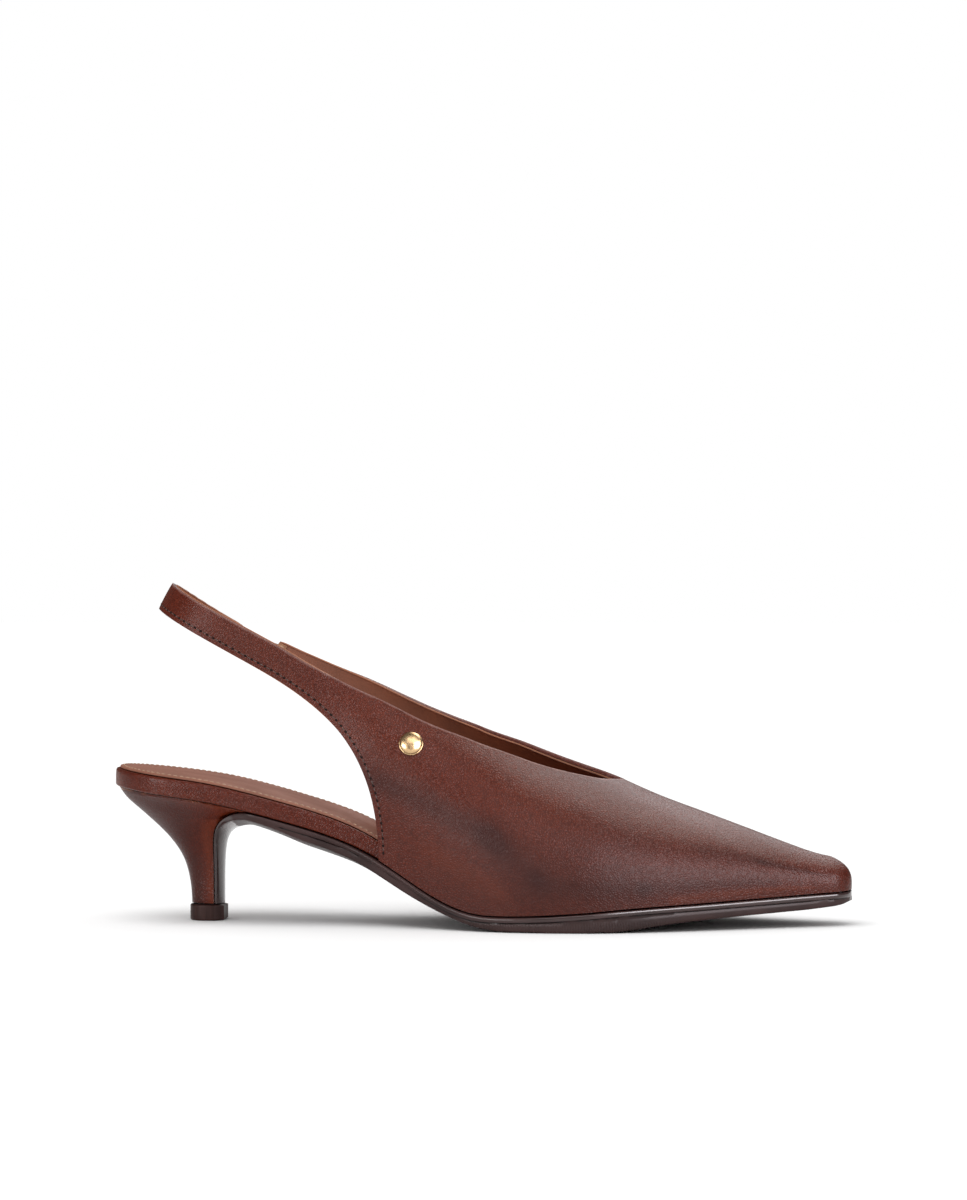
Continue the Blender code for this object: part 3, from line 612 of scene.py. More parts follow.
class PumpColours(bpy.types.PropertyGroup):
    leather: colour("Leather", "Brown of the upper", (0.114, 0.0165, 0.0060))
    leather_dark: colour("Dark burnish", "Darkest brown of the antiqued leather", (0.040, 0.0050, 0.0022))
    leather_warm: colour("Warm burnish", "Rust patches of the antiqued leather", (0.155, 0.0270, 0.0070))
    # A painted highlight: this light line along the folded edge stands in for the light its rounded edge
    # catches
    leather_edge_highlight: colour("Edge line", "Worn light line along the folded edge", (0.260, 0.135, 0.115))
    lining: colour("Lining", "Brown of the lining inside", (0.290, 0.092, 0.043))
    lining_cut: colour("Lining edge", "Cut edge of the lining", (0.420, 0.170, 0.085))
    sock: colour("Sock", "Tan of the footbed", (0.300, 0.125, 0.082))
    thread: colour("Thread", "Stitches of the upper", (0.110, 0.068, 0.055))
    sock_thread: colour("Footbed thread", "Stitches of the footbed", (0.640, 0.420, 0.270))
    hole: colour("Needle holes", "Shadowed holes between the stitches", (0.010, 0.005, 0.004))
    sole: colour("Sole", "Dark rubber of the sole", (0.032, 0.0145, 0.0135))
    lift: colour("Top lift", "Rubber of the heel tip", (0.032, 0.013, 0.011))
    webbing: colour("Webbing", "Elastic webbing", (0.040, 0.016, 0.013))
    raw_end: colour("Raw end", "Bare end of the inner quarter", (0.420, 0.200, 0.110))
    wrap_edge: colour("Wrap edge", "Lighter cut edge of the heel's wrap", (0.300, 0.110, 0.045))
    gilt: colour("Gilt", "Metal of the stud", (0.700, 0.470, 0.250))
    floor: colour("Floor", "Plain studio floor", (0.930, 0.930, 0.930))


def sizes():
    return bpy.context.scene.pump_sizes


def colours():
    return bpy.context.scene.pump_colours


# The upper's outer sheet, its border and its creases

UPPER_SHARP = 50
OUTER_FACE_HEIGHT = 0.03
CORNER_HEIGHT = 0.05
LINE_PITCH = 0.3 * MM
FEATHER_PITCH = 0.5 * MM


def outer_sheet():
    """The outer faces of the upper's solid, as an open sheet."""
    sheet = copy_of("upper", "upper_sheet")
    pick_sharp(sheet, UPPER_SHARP)
    bpy.ops.mesh.mark_seam(clear=False)
    leave()
    spot = Vector((0.0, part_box("upper")[0].y, OUTER_FACE_HEIGHT))
    start = min(sheet.data.polygons, key=lambda face: (face.center - spot).length).index
    pick_faces(sheet, lambda face: face.index == start)
    bpy.ops.mesh.select_linked(delimit={"SEAM"})
    bpy.ops.mesh.select_all(action="INVERT")
    bpy.ops.mesh.delete(type="FACE")
    leave()
    return sheet


def edge_lines(sheet):
    """The border of the outer sheet, cut at its corners into named lines."""
    loop = border_of(sheet)
    corners = [place for place in corners_of(loop, math.radians(UPPER_SHARP)) if loop[place].x < 0.0]
    low = [place for place in corners if loop[place].z < CORNER_HEIGHT]
    high = [place for place in corners if loop[place].z > CORNER_HEIGHT]
    if len(low) != 2 or len(high) != 4:
        raise RuntimeError("the upper's border doesn't have its six corners")
    outer, inner = sorted(low, key=lambda place: loop[place].y)
    strap_low, strap_high, stub_low, stub_high = sorted(high, key=lambda place: loop[place].x)
    return {
        "outer_back": stretch(loop, outer, strap_low, strap_high),
        "inner_back": stretch(loop, inner, stub_low, stub_high),
        "topline": stretch(loop, stub_high, strap_high, strap_low),
        "strap_end": stretch(loop, strap_high, strap_low, stub_low),
        "stub_end": stretch(loop, stub_low, stub_high, strap_low),
        "feather": stretch(loop, inner, outer, stub_low),
    }


SEWN_LINES = ("outer_back", "inner_back", "strap_end", "stub_end")

# Points inside the shoe which the leather lies round
AXIS = [(-0.14, 0.0, 0.060), (-0.03, -0.003, 0.046), (0.03, -0.001, 0.024), (0.14, 0.004, 0.014)]


def axis_at(x):
    """A point inside the shoe at x, which the leather lies round."""
    for (x0, y0, z0), (x1, y1, z1) in zip(AXIS, AXIS[1:]):
        if x <= x1 or x1 == AXIS[-1][0]:
            t = (x - x0) / (x1 - x0)
            return Vector((x, y0 + (y1 - y0) * t, z0 + (z1 - z0) * t))


# Soft troughs and ridges: two ends by place along the shoe and turn from the crest towards the outer side in
# degrees, width in millimetres, and depth as a share of the deepest
CREASES = [
    ((-0.030, 84), (0.030, 96), 6.5, 0.9),
    ((0.018, 74), (0.068, 92), 7.0, 0.55),
    ((0.040, 40), (0.070, 78), 6.0, 0.5),
    ((0.000, 62), (0.030, 72), 8.0, -0.5),
    ((0.062, 30), (0.096, 70), 6.0, -0.5),
    ((0.076, 14), (0.104, 58), 5.0, 0.45),
    ((-0.024, 58), (-0.004, 66), 6.0, 0.5),
    ((0.030, -84), (-0.026, -78), 6.5, 0.8),
    ((0.066, -40), (0.040, -74), 6.0, 0.5),
    ((0.096, -30), (0.070, -70), 6.0, -0.4),
]
CREASE_RADIUS = 0.034
CREASE_BACK_END = -0.045

# Streaks in the same measure, partly burnish and partly painted light: dark where positive, a painted shade,
# and warm and light where negative, a painted sheen
SHADE_AND_SHEEN_STREAKS = [
    ((-0.034, 80), (0.008, 90), 6.5, 0.9),
    ((0.008, 90), (0.022, 101), 6.0, 0.7),
    ((0.024, 102), (0.060, 100), 3.4, 0.7),
    ((0.060, 100), (0.104, 93), 2.2, 0.6),
    ((0.080, 70), (0.100, 71), 3.0, 0.5),
    ((0.100, 71), (0.121, 75), 2.6, 0.8),
    ((-0.014, 113), (0.011, 113), 5.0, -0.2),
    ((0.070, 106), (0.118, 100), 1.6, -0.3),
    ((-0.070, 62), (-0.040, 66), 5.0, 0.35),
    ((-0.030, -88), (0.040, -100), 7.0, 0.8),
    ((0.085, -62), (0.122, -66), 3.5, 0.7),
    ((0.000, -70), (0.050, -60), 9.0, -0.3),
]


def flat_spot(place, turn):
    """A point of the leather rolled out flat, by its place along the shoe and its turn from the crest."""
    return Vector((place, math.radians(turn) * CREASE_RADIUS))


def rolled_out(point):
    """Where a point of the leather lies when it is rolled out flat."""
    out = point - axis_at(point.x)
    return flat_spot(point.x, math.degrees(math.atan2(-out.y, out.z)))


def pull_of(spot, lines):
    """How strongly a rolled-out point lies on any of some soft lines."""
    pull = 0.0
    for start, end, width, share in lines:
        a, b = flat_spot(*start), flat_spot(*end)
        along = within((spot - a).dot(b - a) / (b - a).length_squared)
        away = (spot - a.lerp(b, along)).length / (width * MM)
        pull += share * math.exp(-away * away)
    return pull


def crease_leather(piece):
    """Moves the leather in and out along soft troughs and ridges."""
    for vertex in piece.data.vertices:
        if vertex.co.x >= CREASE_BACK_END:
            out = vertex.co - axis_at(vertex.co.x)
            out.x = 0.0
            vertex.co -= out.normalized() * sizes().crease_depth * pull_of(rolled_out(vertex.co), CREASES)


# The upper and its lining

RIM_REACH = 1.6
LINING_BITE = 0.1 * MM
LINING_TRIM = 0.75
LINING_PULL = 2.0


class PUMP_OT_upper(bpy.types.Operator):
    """Model the leather upper with its folded edges, and the lining inside it"""
    bl_idname = "pump.upper"
    bl_label = "Upper and Lining"

    def execute(self, context):
        size = sizes()
        sheet = outer_sheet()
        lines = edge_lines(sheet)
        rim = [point for name in (*SEWN_LINES, "topline") for point in evenly(lines[name], LINE_PITCH)]
        rim_tree = tree_of(rim)
        feather_tree = tree_of(evenly(lines["feather"], FEATHER_PITCH))

        only(sheet)
        bpy.ops.object.duplicate()
        skin = bpy.context.object
        modify(skin, "SOLIDIFY", thickness=size.leather_wall, offset=-1.0, use_even_offset=True)
        reach = size.leather_wall * RIM_REACH

        def on_rim(line):
            a, b = (skin.data.vertices[end].co for end in line.vertices)
            middle = (a + b) / 2
            return rim_tree.find(middle)[2] < min(reach, feather_tree.find(middle)[2])

        pick_sharp(skin, UPPER_SHARP)
        leave()
        sharp = {line.index for line in skin.data.edges if line.select}
        rims = {place for place in sharp if on_rim(skin.data.edges[place])}
        pick_edges(skin, sharp - rims)
        bpy.ops.transform.edge_crease(value=1.0)
        leave()
        pick_edges(skin, rims)
        bevel_picked(size.edge_round, 2)
        subdivide(skin)
        crease_leather(skin)
        smooth(skin, 60)
        # Painted shade and sheen: darker and lighter bands along the streak table, partly burnish
        paint(skin, "burnish_shade_sheen", [pull_of(rolled_out(vertex.co), SHADE_AND_SHEEN_STREAKS) for vertex in skin.data.vertices])
        # Distance from the topline, for the painted highlight along the folded edge
        mark_distance(skin, "top", evenly(lines["topline"], LINE_PITCH))
        finish_piece(skin, "upper_leather_shell",
                     leather("antiqued_calf_painted_shade_sheen", "top", colours().leather_edge_highlight, 0.8, True))
        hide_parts("upper")

        self.line(sheet, rim_tree)
        return {"FINISHED"}

    def line(self, sheet, rim_tree):
        """Turns the outer sheet into the lining that stands off the leather's inner side."""
        size = sizes()
        subdivide(sheet)
        crease_leather(sheet)
        depth = size.leather_wall + size.lining_wall
        modify(sheet, "DISPLACE", direction="NORMAL", strength=-depth, mid_level=0.0)
        drop = math.hypot(size.lining_drop, depth)
        near = [rim_tree.find(vertex.co)[2] for vertex in sheet.data.vertices]
        pick_faces(sheet, lambda face: min(near[place] for place in face.vertices) < drop * LINING_TRIM)
        bpy.ops.mesh.delete(type="FACE")
        bpy.ops.mesh.select_all(action="SELECT")
        bpy.ops.mesh.delete_loose()
        leave()
        borders = (key for key, faces in faces_by_edge(sheet.data).items() if len(faces) == 1)
        edge = {place for key in borders for place in key}
        for place in edge:
            vertex = sheet.data.vertices[place]
            spot, _, away = rim_tree.find(vertex.co)
            if away < drop * LINING_PULL:
                vertex.co = spot + (vertex.co - spot) * (drop / away)
        modify(sheet, "SOLIDIFY", thickness=size.lining_wall + LINING_BITE, offset=1.0)
        smooth(sheet, 50)
        mark_distance(sheet, "cut", [sheet.data.vertices[place].co.copy() for place in sorted(edge)])
        kid = soft_leather("kid_lining", colours().lining, 0.72, (45.0, 3.0, 0.35, 0.7), 1100.0, (0.5, 0.64),
                           0.03, colours().lining_cut, Specular_IOR_Level=0.3)
        finish_piece(sheet, "lining", kid)
        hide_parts("upper")


# Stitches

PROBE = 4 * MM
ROW_START = 2
ROW_STOP = -3
FEWEST_THREADS = 100
THREAD_SHARE = 0.54
THREAD_FLATTEN = 0.8
THREAD_HEIGHT = 0.3 * MM
HOLE_SHARE = 0.42
HOLE_SPREAD = 1.9
HOLE_HEIGHT = 0.2 * MM
THREAD_LIFT = 0.03 * MM
HOLE_LIFT = 0.02 * MM
HOLE_SLANT = math.radians(14)


def thread_material(name, shade):
    """Waxed thread: fine twist across its length, a little sheen."""
    return grained(name, shade, (0.6, 1.0), 2600.0, polish=(0.45, 0.7), spread=(0.2, 0.8), depth=0.08,
                   Specular_IOR_Level=0.4)


def hole_material():
    """Shadowed hole: nearly black leather with a rough, torn look."""
    return grained("needle_hole", colours().hole, (1.0, 2.5), 3000.0, steps=None, polish=(0.8, 1.0),
                   Specular_IOR_Level=0.1)


def inset_points(line, sheet_tree, inset, pitch):
    """Points inset beside a border line, each with its direction along the line and its outward normal."""
    points = evenly(line, pitch)
    found = []
    for place, point in enumerate(points):
        ahead = points[min(place + 1, len(points) - 1)]
        along = (ahead - points[max(place - 1, 0)]).normalized()
        normal = sheet_tree.find_nearest(point)[1]
        side = normal.cross(along).normalized()
        choices = [point + side * inset, point - side * inset]
        best = min(choices, key=lambda spot: sheet_tree.find_nearest(spot)[3])
        found.append((best, along, normal))
    return found


class PUMP_OT_stitches(bpy.types.Operator):
    """Sew the edge rows of the quarters and strap, outside and inside, with holes between the threads"""
    bl_idname = "pump.stitches"
    bl_label = "Edge Stitches"

    def execute(self, context):
        size = sizes()
        sheet = outer_sheet()
        lines = edge_lines(sheet)
        sheet_tree = surface_of(sheet)
        bpy.data.objects.remove(sheet)
        surface = surface_of(bpy.data.objects["upper_leather_shell"], bpy.data.objects["lining"])
        slant = Matrix.Rotation(HOLE_SLANT, 4, "Z")
        threads = []
        holes = []
        for name in SEWN_LINES:
            marks = inset_points(lines[name], sheet_tree, size.stitch_inset, size.stitch_pitch / 2)
            for place, (spot, along, normal) in enumerate(marks[ROW_START:ROW_STOP], start=ROW_START):
                for out in (normal, -normal):
                    hit, facing, _, _ = surface.ray_cast(spot + out * PROBE, -out, 2 * PROBE)
                    if hit is None:
                        continue
                    if facing.dot(out) < 0:
                        facing = -facing
                    if place % 2:
                        threads.append(standing(hit, along, facing, THREAD_LIFT))
                    else:
                        holes.append(standing(hit, along, facing, HOLE_LIFT) @ slant)
        if len(threads) < FEWEST_THREADS:
            raise RuntimeError("the stitch rows didn't find the leather")
        width = size.thread_width
        thread = small_ball(size.stitch_pitch * THREAD_SHARE, width * THREAD_FLATTEN, THREAD_HEIGHT)
        sew_on(thread, threads, "edge_threads",
               thread_material("edge_thread", colours().thread))
        hole = small_ball(size.stitch_pitch * HOLE_SHARE, width * HOLE_SPREAD, HOLE_HEIGHT)
        sew_on(hole, holes, "needle_holes", hole_material())
        return {"FINISHED"}


# The gusset and the end of the inner quarter

WEBBING_CORE = 0.7 * MM
WEBBING_ROUND = 0.2 * MM
WEBBING_TUCK = 2.0 * MM
CORD_THICKNESS = 0.5 * MM
CORD_FILL = 0.96
CORD_LIFT = 0.36 * MM
FACING_LENGTH = 3.4 * MM
FACING_FILL = 0.94
FACING_THICKNESS = 0.6 * MM
FACING_ROUND = 0.22 * MM
FACING_SETBACK = 1.6 * MM
FACING_LIFT = 0.1 * MM
TACK_RADIUS = 0.85 * MM
TACK_THREAD = 0.24 * MM
TACK_INSET = 2.1 * MM
TACK_LIFT = 0.3 * MM
TACK_HOLE = 0.9 * MM
TACK_HOLE_HEIGHT = 0.3 * MM


def rounded_plate(size, rounding, segments, place):
    """A thin plate with rounded edges, brought to its place."""
    plate = new_shape(bpy.ops.mesh.primitive_cube_add, size=1.0)
    apply_scale(plate, *size)
    modify(plate, "BEVEL", width=rounding, segments=segments)
    plate.data.transform(place)
    return plate


class PUMP_OT_gusset(bpy.types.Operator):
    """Weave the elastic gusset from cords laid side by side"""
    bl_idname = "pump.gusset"
    bl_label = "Elastic Gusset"

    def execute(self, context):
        size = sizes()
        count = size.webbing_cords
        corners = [vertex.co for vertex in frame["nodes"]["elastic"].data.vertices]
        start, end, across, out = strip_axes(corners)
        side = across.normalized()
        run = (end - start).normalized()
        tall = (end - start).length + WEBBING_TUCK
        width = across.length - size.webbing_drop
        middle = (start + end) / 2 - side * size.webbing_drop / 2
        turn = axes(side, run.cross(side), run)
        place = Matrix.Translation(middle) @ turn
        core = rounded_plate((width, WEBBING_CORE, tall), WEBBING_ROUND, 2, place)
        cord = new_shape(bpy.ops.mesh.primitive_cylinder_add, vertices=10, radius=0.5, depth=1.0,
                         end_fill_type="NGON")
        apply_scale(cord, width / count * CORD_FILL, CORD_THICKNESS, tall)
        places = []
        for lift in (out * CORD_LIFT, -out * CORD_LIFT):
            for step in range(count):
                offset = side * width * ((step + 0.5) / count - 0.5) + lift
                places.append(Matrix.Translation(middle + offset) @ turn)
        material = webbing_material(run)
        cords = sew_on(cord, places, "webbing_cords", material)
        smooth(cords, 50)
        finish_piece(core, "webbing_core", material)
        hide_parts("elastic")
        self.face_end()
        return {"FINISHED"}

    def face_end(self):
        """Sews a small bare facing with a tack ring on the inner side of the quarter's end."""
        size = sizes()
        sheet = outer_sheet()
        lines = edge_lines(sheet)
        bpy.data.objects.remove(sheet)
        low, high = lines["stub_end"][0], lines["stub_end"][-1]
        side = (high - low).normalized()
        run = lines["topline"][1] - lines["topline"][0]
        run = (run - side * run.dot(side)).normalized()
        inward = run.cross(side)
        if inward.y > 0:
            inward = -inward
        turn = axes(run, inward.cross(run), inward)
        middle = (low + high) / 2 + run * FACING_SETBACK + inward * (size.leather_wall + size.lining_wall
                                                                     + FACING_LIFT)
        width = (high - low).length
        place = Matrix.Translation(middle) @ turn
        patch = rounded_plate((FACING_LENGTH, width * FACING_FILL, FACING_THICKNESS), FACING_ROUND, 3, place)
        smooth(patch)
        raw = grained("raw_leather", colours().raw_end, (0.7, 1.0), 1500.0, 4.0, polish=(0.7, 0.9), depth=0.1,
                      Specular_IOR_Level=0.2)
        finish_piece(patch, "quarter_end_facing", raw)
        ring = new_shape(bpy.ops.mesh.primitive_torus_add, major_radius=TACK_RADIUS, minor_radius=TACK_THREAD,
                         major_segments=20, minor_segments=8)
        reach = side * (width / 2 - TACK_INSET)
        spots = [Matrix.Translation(middle + shift + inward * TACK_LIFT) @ turn for shift in (reach, -reach)]
        rings = sew_on(ring, spots, "tack_rings",
                       thread_material("tack_thread", colours().sock_thread))
        smooth(rings, 60)
        dot = small_ball(TACK_HOLE, TACK_HOLE, TACK_HOLE_HEIGHT)
        sew_on(dot, spots, "tack_holes", hole_material())


def strip_axes(points):
    """The middle line of a flat strip, its way across and its way out, from its corner points."""
    far = sorted(points, key=lambda point: point.x)
    half = len(far) // 2
    start = sum(far[:half], Vector()) / half
    end = sum(far[half:], Vector()) / (len(far) - half)
    run = (end - start).normalized()
    out = Vector((0.0, 1.0, 0.0))
    out = (out - run * out.dot(run)).normalized()
    side = run.cross(out)
    if side.z < 0:
        side = -side
    reach = [point.dot(side) for point in points]
    return start, end, side * (max(reach) - min(reach)), out


def webbing_material(run):
    """Dark ribbed elastic: small crosswise weft ticks over the cords."""
    shade = colours().webbing
    material, tree, shader = new_material("ribbed_elastic", Sheen_Weight=0.3, Specular_IOR_Level=0.3)
    vector = here(tree)
    travel = node(tree, "VectorMath", {0: vector, 1: run}, operation="DOT_PRODUCT").outputs["Value"]
    ticks = maths(tree, "SINE", times(tree, travel, 2 * math.pi / (0.9 * MM)))
    fuzz = noise(tree, vector, 1800.0, 3.0)
    height = maths(tree, "ADD", times(tree, ticks, 0.4), fuzz)
    colour = blend_colours(tree, band(tree, height, 0.1, 1.2), rgba(shade, 0.55), rgba(shade, 1.5))
    dress(tree, shader, colour, band(tree, fuzz, 0.3, 0.7, 0.7, 0.9), height, 0.12)
    return material


# Footbed

FOOTBED_SHARP = 35
BOARD_ROUND = 1.5 * MM
SOCK_ROUND = 0.3 * MM
SOCK_DROP = 0.32 * MM
SOCK_THREAD_LIFT = 0.08 * MM
SOCK_THREAD_SHARE = 0.66
SOCK_THREAD_WIDTH = 0.45 * MM
SOCK_THREAD_HEIGHT = 0.36 * MM
SOCK_STITCH_INSET = 1.3 * MM
OUTLINE_STEPS = 120
EDGE_STEPS = 200
EDGE_STEP = 0.25 * MM


class PUMP_OT_footbed(bpy.types.Operator):
    """Model the leather-wrapped insole board and the stitched tan sock on it"""
    bl_idname = "pump.footbed"
    bl_label = "Footbed"

    def execute(self, context):
        board = rounded_copy("insole", FOOTBED_SHARP, BOARD_ROUND, 3)
        finish_piece(board, "insole_wrapped_board",
                     leather("wrapped_calf", cloud=20.0, warmth=0.8, roughness=(0.26, 0.36)))
        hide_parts("insole")
        sock = rounded_copy("sock", FOOTBED_SHARP, SOCK_ROUND)
        for vertex in sock.data.vertices:
            vertex.co.z -= SOCK_DROP
        tan = soft_leather("tan_sock", colours().sock, 0.8, (60.0, 4.0, 0.3, 0.75), 1300.0, (0.55, 0.68),
                           0.02, Specular_IOR_Level=0.12)
        finish_piece(sock, "sock_sheet", tan)
        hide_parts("sock")
        self.sew(surface_of(sock), evenly(sock_outline(), sizes().sock_pitch))
        return {"FINISHED"}

    def sew(self, surface, points):
        """Lays a row of short stitches inside the sock's edge."""
        places = []
        for place, point in enumerate(points[:-1]):
            along = points[place + 1] - points[place - 1 if place else len(points) - 2]
            hit, facing, _, _ = surface.ray_cast(point - DOWN * ABOVE, DOWN, LONG_RAY)
            if hit is not None:
                places.append(standing(hit, along, facing if facing.z > 0 else -facing, SOCK_THREAD_LIFT))
        thread = small_ball(sizes().sock_pitch * SOCK_THREAD_SHARE, SOCK_THREAD_WIDTH, SOCK_THREAD_HEIGHT)
        sew_on(thread, places, "sock_threads",
               thread_material("footbed_thread", colours().sock_thread))


def sock_outline():
    """A closed line on the sock, inset from its outline in plan."""
    low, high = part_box("sock")
    surface = surface_of(frame["nodes"]["sock"])

    def top_at(x, y):
        return surface.ray_cast(Vector((x, y, high.z + ABOVE)), DOWN, LONG_RAY)[0]

    def edge_at(x, side):
        """How far the sheet reaches at x towards one side, seen from above."""
        inside = None
        for step in range(EDGE_STEPS):
            y = (low.y + high.y) / 2 + side * step * EDGE_STEP
            if top_at(x, y) is not None:
                inside = y
            elif inside is not None:
                break
        return inside

    outer = []
    inner = []
    for step in range(1, OUTLINE_STEPS):
        x = low.x + (high.x - low.x) * (0.5 - 0.5 * math.cos(math.pi * step / OUTLINE_STEPS))
        for side, keep in ((-1.0, outer), (1.0, inner)):
            y = edge_at(x, side)
            if y is not None:
                keep.append(Vector((x, y, 0.0)))
    loop = outer + inner[::-1]
    moved = []
    for place, point in enumerate(loop):
        tangent = (loop[(place + 1) % len(loop)] - loop[place - 1]).normalized()
        spot = point + Vector((-tangent.y, tangent.x, 0.0)) * SOCK_STITCH_INSET
        top = top_at(spot.x, spot.y)
        if top is not None:
            moved.append(top)
    return moved + moved[:1]


# Sole

SOLE_SHARP = 55
SOLE_CREASE = 0.9
HOLLOW_SLOPE = 0.05
HOLLOW_ANGLE = math.radians(40)
BEAD_REACH = 3.5 * MM
BEAD_ABOVE = 0.05 * MM
GLOSS_START = -0.01
GLOSS_RUN = 0.04
FLAP_FRONT = -0.086
GROOVE_WIDTH = 0.12 * MM
GROOVE_DEPTH = 0.55 * MM
GROOVE_TOE_END = 0.128


class PUMP_OT_outsole(bpy.types.Operator):
    """Round the moulded sole with its glossy bead, ribbed wall, arched shank and breast flap"""
    bl_idname = "pump.outsole"
    bl_label = "Outsole"

    def execute(self, context):
        sole = copy_of("outsole", "outsole_moulded")
        groove = tree_of(hollow_line(sole))
        hold_edges(sole, SOLE_SHARP, SOLE_CREASE)
        away = []
        bead = []
        for vertex in sole.data.vertices:
            spot, _, gap = groove.find(vertex.co)
            away.append(gap)
            above = vertex.co.z > spot.z + BEAD_ABOVE and gap < BEAD_REACH
            glossy = within((vertex.co.x - GLOSS_START) / GLOSS_RUN) if above else 0.0
            bead.append(1.0 if vertex.co.x < FLAP_FRONT else glossy)
        outward = [Vector((vertex.normal.x, vertex.normal.y, 0.0)) for vertex in sole.data.vertices]
        for vertex, gap, out in zip(sole.data.vertices, away, outward):
            if gap < GROOVE_WIDTH and vertex.co.x < GROOVE_TOE_END:
                vertex.co -= out * GROOVE_DEPTH
        paint(sole, "groove", away)
        paint(sole, "bead", bead)
        finish_piece(sole, "outsole_moulded", sole_rubber())
        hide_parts("outsole")
        return {"FINISHED"}


def hollow_line(piece):
    """Points along the inward corners of a solid: the line where the bead meets the wall."""
    corners = piece.data.vertices
    points = []
    for (a, b), faces in faces_by_edge(piece.data).items():
        if len(faces) != 2:
            continue
        first, second = faces
        slope = (second.center - first.center).normalized().dot(first.normal)
        if slope > HOLLOW_SLOPE and first.normal.angle(second.normal) > HOLLOW_ANGLE:
            points += between(corners[a].co, corners[b].co)
    return points


def sole_rubber():
    """Dark moulded rubber: glossy where it is smooth, finely ribbed across the tread."""
    shade = colours().sole
    material, tree, shader = new_material("moulded_sole", Specular_IOR_Level=0.22, Coat_Roughness=0.16)
    vector = here(tree)
    parts = node(tree, "SeparateXYZ", {0: vector}).outputs
    bead = read(tree, "bead")
    broad = noise(tree, vector, 70.0, 3.0)
    ribs = maths(tree, "SINE", times(tree, parts["X"], 2 * math.pi / (0.95 * MM)))
    tread = times(tree, band(tree, parts["X"], -0.006, 0.0), band(tree, parts["Z"], 4.2 * MM, 2.4 * MM))
    plain = maths(tree, "SUBTRACT", 0.35, times(tree, bead, 0.3))
    pitted = times(tree, noise(tree, vector, 1400.0, 4.0), plain)
    height = maths(tree, "ADD", times(tree, ribs, times(tree, tread, 0.7)), pitted)
    colour = blend_colours(tree, band(tree, broad, 0.3, 0.7), rgba(shade), rgba(shade, 1.7))
    shadow = band(tree, read(tree, "groove"), 0.45 * MM, 0.1 * MM)
    colour = blend_colours(tree, shadow, colour, rgba(shade, 0.2))
    dull = band(tree, broad, 0.25, 0.75, 0.36, 0.48)
    dress(tree, shader, colour, maths(tree, "SUBTRACT", dull, times(tree, bead, 0.12)), height, 0.12, 0.7)
    tree.links.new(times(tree, bead, 0.8), shader.inputs["Coat Weight"])
    return material


# Heel and top lift

HEEL_SHARP = 40
HEEL_CREASE = 0.85
SEAT_MIN_HEIGHT = 0.03
SEAT_FRONT_BAND = 0.5 * MM
SEAT_FRONT_SHIFT = Vector((2.9 * MM, 0.0, -0.75 * MM))
HEEL_SLICE = 2 * MM
# Painted shade darkens the heel's back, and a painted warm sheen lightens its front
BACK_PAINTED_SHADE = 0.8
FRONT_PAINTED_SHEEN = -0.35
STREAK_TURN = 0.45
STREAK_RUN = 0.4
FACING_UP = 0.8
LIFT_SHARP = 35
LIFT_ROUND = 0.25 * MM


class PUMP_OT_heel(bpy.types.Operator):
    """Wrap the kitten heel in leather and fit its rubber top lift"""
    bl_idname = "pump.heel"
    bl_label = "Heel and Top Lift"

    def execute(self, context):
        block = copy_of("heel", "heel_block")
        front = max(vertex.co.x for vertex in block.data.vertices)
        for vertex in block.data.vertices:
            if vertex.co.x > front - SEAT_FRONT_BAND and vertex.co.z > SEAT_MIN_HEIGHT:
                vertex.co += SEAT_FRONT_SHIFT
        hold_edges(block, HEEL_SHARP, HEEL_CREASE)
        mark_distance(block, "wrap", rim_points("heel"))
        self.burnish(block)
        finish_piece(block, "heel_wrapped_block",
                     leather("heel_calf", "wrap", colours().wrap_edge, 1.3, True, cloud=24.0, warmth=0.9,
                             roughness=(0.30, 0.40)))
        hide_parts("heel")
        lift = rounded_copy("top_lift", LIFT_SHARP, LIFT_ROUND, 2)
        rubber = grained("lift_rubber", colours().lift, (1.0, 1.6), 900.0, 3.0, polish=(0.34, 0.5),
                         depth=0.06, drawn={"Scale": (1.0, 1.0, 0.08)}, Specular_IOR_Level=0.12)
        finish_piece(lift, "top_lift_moulded", rubber)
        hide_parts("top_lift")
        return {"FINISHED"}

    def burnish(self, block):
        """Darkens the heel's back with a painted shade and warms and lightens its front with a painted sheen,
        as an attribute for the leather.
        """
        spans = {}
        for vertex in block.data.vertices:
            spans.setdefault(round(vertex.co.z / HEEL_SLICE), []).append(vertex.co.x)
        ends = {key: (min(span), max(span)) for key, span in spans.items()}
        values = []
        for vertex in block.data.vertices:
            back, front = ends[round(vertex.co.z / HEEL_SLICE)]
            along = (vertex.co.x - back) / max(front - back, 1 * MM)
            share = within((along - STREAK_TURN) / STREAK_RUN)
            values.append(BACK_PAINTED_SHADE + (FRONT_PAINTED_SHEEN - BACK_PAINTED_SHADE) * share)
        paint(block, "burnish_shade_sheen", values)


def rim_points(node_name):
    """Points along the edges of a solid's upper faces, where they turn down to its side."""
    solid = frame["nodes"][node_name].data
    found = []
    for face in solid.polygons:
        if face.normal.z > FACING_UP:
            for a, b in face.edge_keys:
                found += between(solid.vertices[a].co, solid.vertices[b].co)
    return found


# Stud

STUD_SHARP = 40
STUD_CREASE = 0.6
COLLAR_WIRE = 0.32 * MM
COLLAR_LIFT = 0.25 * MM


